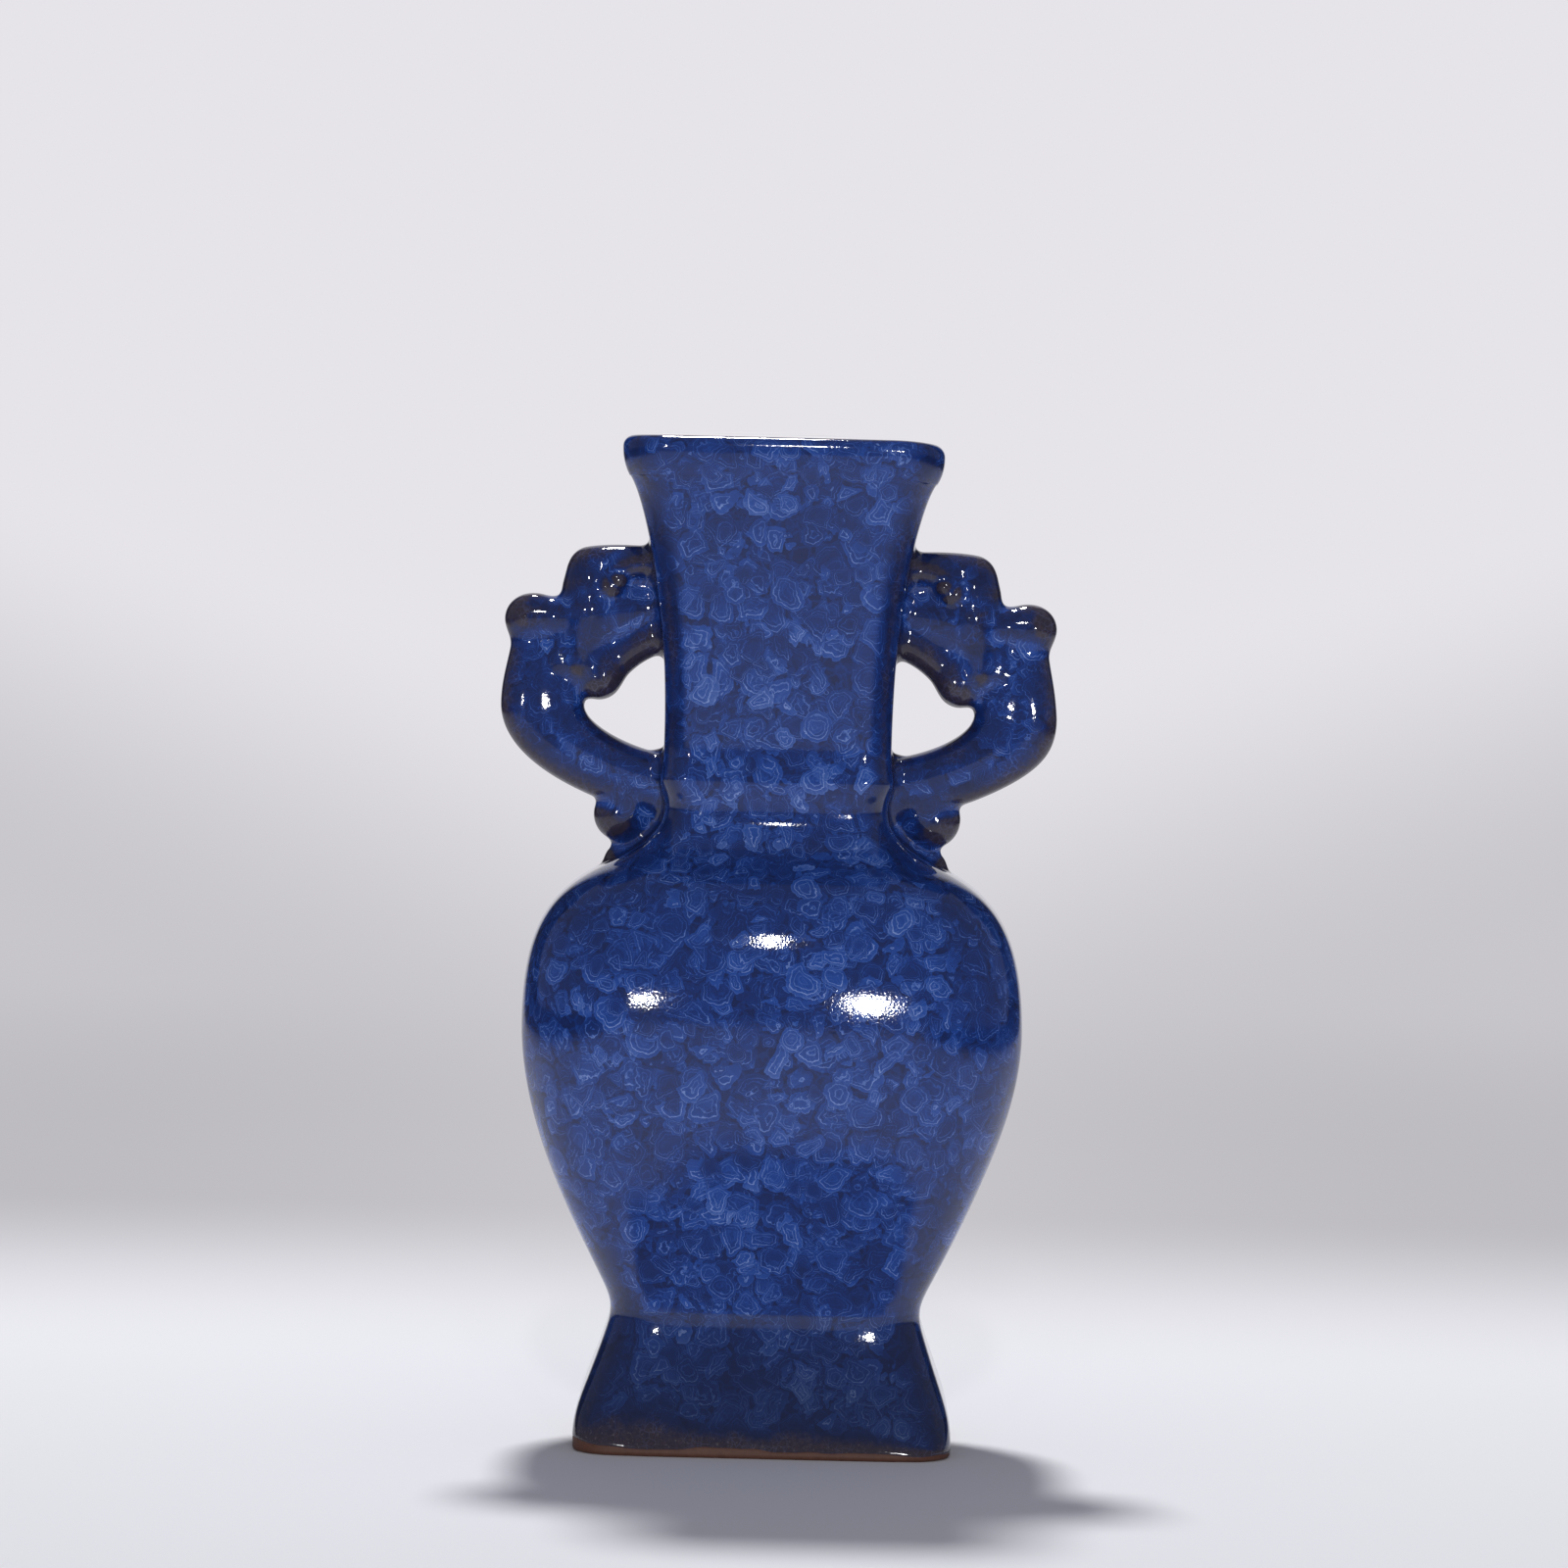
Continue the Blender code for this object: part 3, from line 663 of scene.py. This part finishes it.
def neck_collar():
    outside = collar.stations(near_joints(14))
    inside = [bored(collar_top), bored(shoulder_height)]
    return skin("neck_collar_skin", outside + inside)


def neck_wall():
    outside = neck_foot.stations(near_joints(9)[:-2]) + flare.stations(near_joints(60)[1:])
    inside = flare.stations(np.linspace(inner_top, 0, 34), neck_wall_thickness, neck_bore)
    inside.append(bored(collar_top))
    return skin("neck_wall_skin", outside + inside)


def mouth_lip():
    lip_round = 2.4 * mm
    lip_proud = 1.6 * mm
    width, depth, corner = flare.widths[-1], flare.depths[-1], flare.corners[-1]
    swell = (flare.bulges[-1], flare.flats[-1])
    stations = []
    for t in np.linspace(0, 1, 7):
        grow = lip_proud * (1 - (1 - t) ** 2.2)
        height = lip_height + (mouth_height - lip_round - lip_height) * t
        stations.append((height, width + grow, depth + grow, corner, *swell))
    shares = [0.0] * len(stations)
    for turn in np.linspace(0, math.pi, 17):
        inward = lip_round * (1 - math.cos(turn))
        grow = lip_proud - inward
        height = mouth_height - lip_round * (1 - math.sin(turn))
        stations.append((height, width + grow, depth + grow, corner - inward, *swell))
        shares.append(0.75 * math.sin(turn) ** 3)
    stations += flare.stations([inner_top], neck_wall_thickness, neck_bore)
    shares.append(0.0)
    return skin("mouth_lip_skin", stations, thin_share=np.array(shares))


foot_piece = foot_ring()
floor_piece = vessel_floor()
belly_lower_piece = belly_lower()
belly_upper_piece = belly_upper()
collar_piece = neck_collar()
neck_piece = neck_wall()
lip_piece = mouth_lip()
body_pieces = [
    foot_piece, floor_piece, belly_lower_piece, belly_upper_piece, collar_piece, neck_piece,
    lip_piece,
]
body_faces = sum(len(piece.data.polygons) for piece in body_pieces)
print("body pieces:", len(body_pieces), "with", body_faces, "faces")

# %% [markdown]
# ## Handles as fields
# The potter pressed soft rolls together, stroked them, and the glaze then filled the creases. A
# field does the same: each roll gives its distance at any place, and a soft minimum of all the
# distances melts them into one form. The wall of the vase is one of the distances, so that the
# handle's roots flow on to it.

# %% Distances
def side_of_body():
    """Half width, its slope, and the swell of the side by height, for the handle's wall."""
    rows = []
    for stretch in (lower_belly, upper_belly, collar, neck_foot, flare):
        rows += stretch.stations(np.linspace(0, 0.999, 60))
    rows = np.array(rows)
    slope = np.gradient(rows[:, 1], rows[:, 0])
    return rows[:, 0], rows[:, 1], rows[:, 2], rows[:, 4], slope


wall_height, wall_width, wall_depth, wall_bulge, wall_slope = side_of_body()
print("wall samples up the side:", len(wall_height))


def wall_distance(points):
    """Distance in mm to the vase's side, negative inside the wall."""
    z = points[:, 2] * mm
    width = np.interp(z, wall_height, wall_width) / mm
    bulge = np.interp(z, wall_height, wall_bulge) / mm
    depth = np.interp(z, wall_height, wall_depth) / mm
    slope = np.interp(z, wall_height, wall_slope)
    side = width - side_bulge_share * bulge * (points[:, 1] / (depth - bulge)) ** 2
    return (points[:, 0] - side) / np.hypot(1, slope)


def melt(first, second, width):
    """Soft minimum: the two forms melt together over this width, as glaze fills a crease."""
    near = np.clip(width - np.abs(first - second), 0, None) / width
    return np.minimum(first, second) - near * near * width / 4


curve_steps = 48
far_off = 1e3


class Roll:
    """A tapered roll along one or more cubic curves in the handle's plane, all in mm."""

    def __init__(self, curves, radii, half_depth=None, off=0.0, flatness=2.2):
        places = []
        sizes = []
        for curve, (start, end) in zip(curves, radii):
            for i in range(curve_steps):
                t = i / curve_steps
                places.append(cubic(np.array(curve, float), t))
                sizes.append(between((start, end), ease(t)))
        places.append(np.array(curves[-1][3], float))
        sizes.append(radii[-1][1])
        self.places = np.array(places)
        self.sizes = np.array(sizes)
        thickest = self.sizes.max()
        self.squeeze = (half_depth or thickest) / thickest
        self.off = off
        self.flatness = flatness

    def box(self, margin):
        """Low and high corner, in the handle's plane, of where the roll may reach."""
        low = self.places.min(0) - self.sizes.max() - margin
        high = self.places.max(0) + self.sizes.max() + margin
        return low, high

    def distance(self, points):
        """Distance in mm from points to the roll, negative inside it."""
        x = points[:, 0]
        y = np.abs(points[:, 1])
        if self.off:
            y = np.abs(y - self.off)
        across = (y / self.squeeze) ** self.flatness
        z = points[:, 2]
        best = np.full(len(points), far_off)
        steps = zip(self.places, self.places[1:], self.sizes, self.sizes[1:])
        for (ax, az), (bx, bz), a, b in steps:
            dx, dz = bx - ax, bz - az
            t = np.clip(((x - ax) * dx + (z - az) * dz) / (dx * dx + dz * dz), 0, 1)
            aside = np.hypot(x - ax - t * dx, z - az - t * dz)
            far = (aside ** self.flatness + across) ** (1 / self.flatness)
            best = np.minimum(best, far - (a + (b - a) * t))
        return best


def line(start, end):
    """Straight cubic through its two ends."""
    (ax, az), (bx, bz) = start, end
    dx, dz = bx - ax, bz - az
    return [(ax, az), (ax + dx / 3, az + dz / 3), (ax + dx * 2 / 3, az + dz * 2 / 3), (bx, bz)]


# %% [markdown]
# ## The beast's rolls
# The large rolls are those of the CAD model: head, crest, cheek, jaw, ear, the fat outer roll of
# the strap, the thin roll along the finger loop and the tail's scroll, here with a root that
# fills the corner under it. Smaller ones lie on them: brow, eye, cheek ridge, strand, ear fold
# and a nub. Places are millimetres out from the vase's middle and up from the table.

# %% Rolls of the handle
large_rolls = {
    "head": Roll(
        [[(19.8, 190.0), (32.0, 190.0), (38.2, 189.2), (41.3, 188.5)]],
        [(5.6, 8.5)], 6.9),
    "crest": Roll(
        [[(19.8, 198.4), (29.0, 199.2), (38.0, 199.0), (43.4, 198.0)]],
        [(4.6, 5.4)], 5.9),
    "cheek": Roll(
        [[(41.0, 173.7), (44.4, 179.7), (44.4, 186.5), (44.4, 193.3)]],
        [(4.4, 5.1)], 6.7, flatness=2.6),
    "jaw": Roll(
        [[(19.8, 184.5), (31.8, 184.5), (37.6, 178.5), (41.0, 173.7)]],
        [(4.1, 4.6)], 5.5),
    "ear": Roll(
        [[(44.4, 188.6), (49.8, 187.0), (53.9, 186.5), (57.9, 186.7)]],
        [(3.7, 4.7)], 5.3),
    "strap": Roll(
        [[(56.0, 186.9), (54.8, 180.5), (56.0, 173.9), (56.0, 167.5)],
         [(56.0, 167.5), (56.2, 159.5), (37.8, 149.5), (19.8, 147.6)]],
        [(5.2, 7.2), (7.2, 6.4)], 6.6, flatness=3.0),
    "inner": Roll(
        [[(50.5, 186.9), (49.3, 180.5), (48.5, 173.9), (48.5, 167.5)],
         [(48.5, 167.5), (48.5, 159.5), (34.3, 152.1), (19.8, 152.1)]],
        [(3.0, 4.2), (4.2, 3.7)], 5.2),
    "scroll": Roll([line((35.0, 143.4), (35.6, 142.6))], [(6.1, 6.1)], 5.3),
    "root": Roll(
        [[(22.0, 147.0), (26.0, 145.0), (30.5, 139.5), (36.2, 132.8)]],
        [(5.4, 2.6)], 4.6),
}
small_rolls = {
    "brow": Roll(
        [[(27.0, 198.6), (31.5, 200.2), (36.5, 199.4), (38.4, 195.6)]],
        [(2.1, 1.9)], off=4.7),
    "eye": Roll([line((38.8, 193.9), (39.2, 194.1))], [(2.2, 2.2)], off=5.2),
    "eye_corner": Roll([line((36.6, 195.9), (37.2, 196.0))], [(1.2, 1.2)], off=6.1),
    "cheek_ridge": Roll([line((44.0, 189.0), (45.6, 176.6))], [(2.8, 2.2)], off=4.3),
    "strand": Roll(
        [[(47.6, 187.4), (48.4, 184.6), (49.2, 181.6), (50.0, 177.0)]],
        [(2.0, 1.7)], off=3.4),
    "ear_fold": Roll([line((50.4, 187.4), (57.4, 187.2))], [(2.0, 2.0)], off=3.6),
    "root_nub": Roll([line((27.4, 155.8), (28.6, 155.4))], [(1.6, 1.4)]),
}
usual_melt = 2.6
melt_widths = {
    "head": 3.4, "crest": 3.4, "cheek": 3.2, "ear": 3.0, "strap": 3.0, "inner": 2.8,
    "scroll": 2.0, "brow": 2.4, "eye": 1.6, "eye_corner": 1.2, "root_nub": 1.2,
}
box_margin = 4.0
clear_of_rolls = 9.0
skirt_melt = 2.8
skirt_reach = 2.9
into_wall = 1.6
print("rolls of the handle:", len(large_rolls), "large and", len(small_rolls), "small")


def handle_distance(points):
    """Distance in mm to the melted handle, without the vase's wall."""
    total = np.full(len(points), clear_of_rolls)
    x, z = points[:, 0], points[:, 2]
    for name, roll in {**large_rolls, **small_rolls}.items():
        low, high = roll.box(box_margin)
        near = (x > low[0]) & (x < high[0]) & (z > low[1]) & (z < high[1])
        distance = roll.distance(points[near])
        total[near] = melt(total[near], distance, melt_widths.get(name, usual_melt))
    return total


def handle_field(points):
    """The handle with its skirt on the wall: below zero inside the clay."""
    rolls = handle_distance(points)
    wall_side = wall_distance(points)
    skirt = melt(rolls, wall_side + 0.01, skirt_melt)
    return np.maximum(np.maximum(skirt, -into_wall - wall_side), rolls - skirt_reach)


# %% [markdown]
# ## From a field to a mesh
# A marching method would leave slivers, so surface nets are used: one point in every cell that
# the surface crosses, joined across every edge of the grid that changes sign. The points are
# then moved on to the true surface along the field's slope.

# %% Surface nets
def surface_net(field, origin, pitch):
    """Points and four-cornered faces of the zero surface of a grid of field values."""
    inside = field < 0
    shape = np.array(field.shape) - 1
    total = np.zeros((*shape, 3))
    count = np.zeros(shape)
    corner = [slice(0, -1), slice(1, None)]
    for axis in range(3):
        others = [a for a in range(3) if a != axis]
        for u in (0, 1):
            for v in (0, 1):
                low = [None] * 3
                low[axis] = corner[0]
                low[others[0]] = corner[u]
                low[others[1]] = corner[v]
                high = list(low)
                high[axis] = corner[1]
                a = field[tuple(low)]
                b = field[tuple(high)]
                crossed = (a < 0) != (b < 0)
                share = np.where(crossed, a / np.where(crossed, a - b, 1), 0)
                place = np.zeros((*shape, 3))
                place[..., axis] = share
                place[..., others[0]] = u
                place[..., others[1]] = v
                total += place * crossed[..., None]
                count += crossed
    used = count > 0
    number = np.full(shape, -1)
    number[used] = np.arange(used.sum())
    cells = np.argwhere(used)
    points = origin + (cells + total[used] / count[used][:, None]) * pitch
    faces = []
    for axis in range(3):
        others = [a for a in range(3) if a != axis]
        low = [slice(1, -1)] * 3
        low[axis] = slice(0, -1)
        high = list(low)
        high[axis] = slice(1, None)
        a = inside[tuple(low)]
        b = inside[tuple(high)]
        for flip, chosen in ((False, a & ~b), (True, b & ~a)):
            where = np.argwhere(chosen)
            where[:, others] += 1
            around = []
            for u, v in ((0, 0), (1, 0), (1, 1), (0, 1)):
                cell = where.copy()
                cell[:, others[0]] -= u
                cell[:, others[1]] -= v
                around.append(number[cell[:, 0], cell[:, 1], cell[:, 2]])
            quads = np.stack(around, 1)
            if flip != (axis == 1):
                quads = quads[:, ::-1]
            faces.append(quads)
    return points, np.concatenate(faces)


def slope_of(field, points, reach=0.05):
    """Slope of the field at points, by differences."""
    slope = np.zeros_like(points)
    for axis in range(3):
        step = np.zeros(3)
        step[axis] = reach
        slope[:, axis] = (field(points + step) - field(points - step)) / (2 * reach)
    return slope


def settle(field, points, rounds=3):
    """Moves points on to the zero surface of the field."""
    for _ in range(rounds):
        slope = slope_of(field, points)
        steep = np.maximum((slope * slope).sum(1), 0.05)
        push = -field(points) / steep
        points = points + slope * np.clip(push, -0.3, 0.3)[:, None]
    return points


def roundness(field, points, reach=0.9):
    """How keenly the surface bends outwards, in parts of a millimetre; below zero in a crease."""
    total = -6 * field(points)
    for axis in range(3):
        step = np.zeros(3)
        step[axis] = reach
        total += field(points + step) + field(points - step)
    return total / reach ** 2


# %% Handle mesh
pitch = 0.45
low = np.array([20.0, -9.6, 126.0])
high = np.array([66.0, 9.6, 211.0])
steps = np.ceil((high - low) / pitch).astype(int) + 1
axes = [low[a] + np.arange(steps[a]) * pitch for a in range(3)]
grid = np.stack(np.meshgrid(*axes, indexing="ij"), -1).reshape(-1, 3)
values = handle_field(grid).reshape(steps)
handle_points, handle_faces = surface_net(values, low, pitch)
handle_points = settle(handle_field, handle_points)
handle_round = roundness(handle_distance, handle_points)
handle_facing = slope_of(handle_field, handle_points)
handle_facing /= np.linalg.norm(handle_facing, axis=1, keepdims=True)
print("handle:", len(handle_points), "points", len(handle_faces), "faces")


sag_height, sag_reach, sag_amount = 155.5, 8.5, 1.9


def make_handle(side):
    """Right handle for side 1, left for side -1: the same rolls, mirrored."""
    name = "right" if side > 0 else "left"
    points = handle_points.copy()
    if side > 0:
        # The right strap has sagged outwards a little
        near = np.exp(-((points[:, 2] - sag_height) / sag_reach) ** 2)
        points[:, 0] += sag_amount * near * np.clip((points[:, 0] - 30) / 14, 0, 1)
    points = points * mm * (side, 1, 1)
    faces = handle_faces if side > 0 else handle_faces[:, ::-1]
    bends, thins = (-0.10, 0.0, 0.20, 0.32, 0.45), (0.0, 0.20, 0.46, 0.80, 1.0)
    bend = np.interp(handle_round, bends, thins)
    # Thin glaze at the rolls' rims, and painted shade on the sides that turn away from the front
    # lamps.
    edge_on_thin_and_painted_shade = np.clip((0.78 - np.abs(handle_facing[:, 1])) / 0.6, 0, 1)
    # The glaze turns brown-black along the lower jaw
    near_jaw = np.clip(1 - large_rolls["jaw"].distance(handle_points) / 1.6, 0, 1)
    # Painted shade on the undersides.
    below = np.clip(-handle_facing[:, 2], 0, 1)
    thin = np.clip(bend + 0.36 * edge_on_thin_and_painted_shade + 0.3 * below + 0.4 * near_jaw, 0, 1)
    above = np.full(len(points), well_above)
    return make_piece(name + "_beast_handle", handmade(points), faces.tolist(), thin, above)


right_handle = make_handle(1)
left_handle = make_handle(-1)

# %% [markdown]
# ## Crackle glaze
# The glaze cracked in layers that lie at a slant, so one sees stacked petals: pale lines where a
# crack comes up, a lighter face inside, and dark blue in the gaps. On top of that each flake gets
# painted light on its lower side and a painted shadow just outside it. Each layer here is a cell
# pattern in space, so that it runs on from piece to piece, and the layers lie over one another.

# %% Glaze
def flake_layer(bench, light, place, size, offset, cover):
    """Lays one layer of flakes over the light that shows so far."""
    moved = bench.move("ADD", place, offset)
    sockets = {"Vector": moved, "Scale": 1 / size, "Randomness": 0.9}
    far, chance, centre = bench.node("ShaderNodeTexVoronoi", {"feature": "F1"}, sockets, (0, 1, 2))
    edge = bench.node("ShaderNodeTexVoronoi", {"feature": "DISTANCE_TO_EDGE"}, sockets)
    red, green, blue = bench.node("ShaderNodeSeparateColor", {}, {0: chance}, (0, 1, 2))
    round_edge = (0.58 + green * 0.24 - far) * 0.75
    inward = bench.node("ShaderNodeMath", {"operation": "SMOOTH_MIN"},
                        {0: edge - (green * 0.08 + 0.02), 1: round_edge, 2: 0.03})
    local = bench.move("SUBTRACT", moved, centre)
    up = bench.node("ShaderNodeSeparateXYZ", {}, {0: local}, output=2) / size
    # Painted light: the lower side of each flake is made lighter, in its face and in its ring
    # lines.
    lower_side = bench.step(up, 0.30, -0.40)
    shown = bench.step(red, 1 - cover, 1 - cover + 0.02)
    flake = bench.step(inward, -0.005, 0.03) * shown
    # Painted shadow: the light just outside each flake is darkened, as if the flake shaded the
    # layer below.
    under = bench.step(inward, -0.09, 0.0) * shown
    # Each face is lighter near its rim, a little everywhere and more as painted light on the lower
    # side.
    glow = 1 - bench.step(inward, 0.0, 0.26)
    spacing = blue * 0.04 + 0.07
    rings = bench.wave("FRACT", inward / spacing)
    near_edge = 1 - bench.step(inward, spacing, spacing * 4)
    ring_line = (1 - bench.step(rings, 0.04, 0.30)) * near_edge
    lines = ring_line * (lower_side * 0.28 + 0.35)
    face = 0.26 + blue * 0.36 + glow * (lower_side * 0.10 + 0.02)
    below = light * (1 - under * 0.12)
    return below + (face + lines - below) * flake * 0.72


# Each layer's flake size in mm, where its pattern starts, and how much of the glaze it covers
flake_layers = [
    (3.4, (9.1, 2.3, 4.3), 0.60),
    (7.4, (0.0, 0.0, 0.0), 0.95),
    (5.2, (3.1, 8.3, 5.7), 0.62),
    (7.0, (11.3, 4.9, 2.1), 0.55),
    (4.4, (6.7, 1.3, 9.9), 0.38),
    (6.2, (2.9, 13.1, 7.7), 0.30),
]
# From the dark between the flakes to the pale lines of their cracks
glaze_colours = [
    (0.0, (0.006, 0.010, 0.045)),
    (0.22, (0.010, 0.023, 0.105)),
    (0.40, (0.010, 0.036, 0.190)),
    (0.56, (0.019, 0.074, 0.345)),
    (0.78, (0.100, 0.190, 0.510)),
    (1.0, (0.24, 0.34, 0.68)),
]


def crackle_glaze():
    bench = Bench("cobalt_crackle_glaze")
    place = bench.object_place()
    shake = bench.noise(place, 4.0 * mm, 2.0, output=1)
    shift = bench.node("ShaderNodeVectorMath", {"operation": "SCALE"},
                       {0: bench.move("SUBTRACT", shake, (0.5, 0.5, 0.5)), "Scale": 2.0 * mm})
    tremble = bench.noise(place, 1.1 * mm, 2.0, output=1)
    jag = bench.node("ShaderNodeVectorMath", {"operation": "SCALE"},
                     {0: bench.move("SUBTRACT", tremble, (0.5, 0.5, 0.5)), "Scale": 0.8 * mm})
    bent = bench.move("ADD", bench.move("ADD", place, shift), jag)
    splinter = bench.node("ShaderNodeTexVoronoi", {"feature": "DISTANCE_TO_EDGE"},
                          {"Vector": bent, "Scale": 1 / (3.2 * mm)})
    light = bench.noise(place, 6 * mm, 4.0) * 0.34 + 0.08
    light = light + (1 - bench.step(splinter, 0.02, 0.12)) * 0.16
    for size, offset, cover in flake_layers:
        offset = tuple(v * mm for v in offset)
        light = flake_layer(bench, light, bent, size * mm, offset, cover)
    cloud = bench.noise(place, 26 * mm, 2.0)
    light = light * (cloud * 0.5 + 0.75)
    grain = bench.noise(place, 0.5 * mm, 2.0)
    thin = bench.attribute("thin")
    above = bench.attribute("above_edge")
    # Where the glaze runs thin it is darker and goes brown-black. The same value carries the
    # painted dark of tight corners and the painted shade of the handles.
    lean_and_painted_dark = bench.step(thin, 0.05, 0.50)
    web = bench.node("ShaderNodeTexVoronoi", {"feature": "DISTANCE_TO_EDGE"},
                     {"Vector": bent, "Scale": 1 / (1.5 * mm)})
    patch = bench.noise(place, 7 * mm, 2.0)
    webbed = (1 - bench.step(web, 0.02, 0.10)) * bench.step(patch, 0.35, 0.7)
    light = light * (1 - lean_and_painted_dark * 0.50) + (grain - 0.5) * 0.05 + webbed * lean_and_painted_dark * 0.20
    colour = bench.node("ShaderNodeValToRGB", {"stops": glaze_colours}, {0: light})
    # Painted shade: the glaze is made darker towards the foot, which tilts up into the dim room.
    low = 1 - bench.step(above, 6.0, 60.0)
    colour = bench.blend(low * 0.72, colour, (0.007, 0.013, 0.045, 1))
    speck = bench.noise(place, 1.1 * mm, 4.0)
    brown_thin_and_painted_dark = bench.step(thin * 0.85 + patch * 0.5 + (speck - 0.5) * 0.35, 0.56, 1.05)
    brown = bench.blend(speck, (0.020, 0.016, 0.026, 1), (0.060, 0.042, 0.050, 1))
    brown = bench.blend(webbed * 0.35, brown, (0.10, 0.11, 0.20, 1))
    fleck = bench.step(grain, 0.60, 0.72) * (1 - bench.step(above, 3.0, 12.0))
    brown = bench.blend(fleck * 0.5, brown, (0.16, 0.14, 0.15, 1))
    glazed = bench.blend(brown_thin_and_painted_dark * 0.85, colour, brown)
    edge = bench.step(above + (speck - 0.5) * 0.3, -0.12, 0.12)
    clay = bench.blend(speck, (0.065, 0.022, 0.012, 1), (0.13, 0.050, 0.030, 1))
    surface = bench.blend(edge, clay, glazed)
    pits = bench.noise(place, 0.55 * mm, 1.0)
    rough = edge * (0.035 + grain * 0.03 - 0.62) + 0.62
    height = pits * 0.8 + bench.noise(place, 1.8 * mm, 2.0) * 0.45
    bump = bench.node("ShaderNodeBump", {}, {
        "Strength": 1.0, "Distance": 0.016 * mm, "Height": height,
    })
    shader = bench.node("ShaderNodeBsdfPrincipled", {}, {
        "Base Color": surface, "Roughness": rough, "IOR": 1.5, "Normal": bump,
    })
    return bench.finish(shader)


glaze = crackle_glaze()
for piece in body_pieces + [right_handle, left_handle]:
    piece.data.materials.append(glaze)
print("glaze:", len(flake_layers), "layers,", len(glaze.node_tree.nodes), "nodes")

# %% [markdown]
# ## Riding on the frame
# Every piece rides on the vase's one body and takes the place of its CAD members.

# %% Pieces and nodes
handle_parts = (
    "head", "cheek_roll", "jaw_roll", "crest_roll", "ear_roll", "strap_roll", "inner_roll",
    "tail_scroll",
)
stands_for = {
    foot_piece: (["foot_ring"], "glaze"),
    floor_piece: (["vessel_floor"], "biscuit"),
    belly_lower_piece: (["belly_lower"], "glaze"),
    belly_upper_piece: (["belly_upper"], "glaze"),
    collar_piece: (["neck_collar"], "glaze"),
    neck_piece: (["neck_wall"], "glaze"),
    lip_piece: (["mouth_lip"], "glaze"),
    right_handle: (["right_" + part for part in handle_parts], "glaze"),
    left_handle: (["left_" + part for part in handle_parts], "glaze"),
}
for piece, (nodes, slot) in stands_for.items():
    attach(piece, "root")
    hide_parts(*nodes)
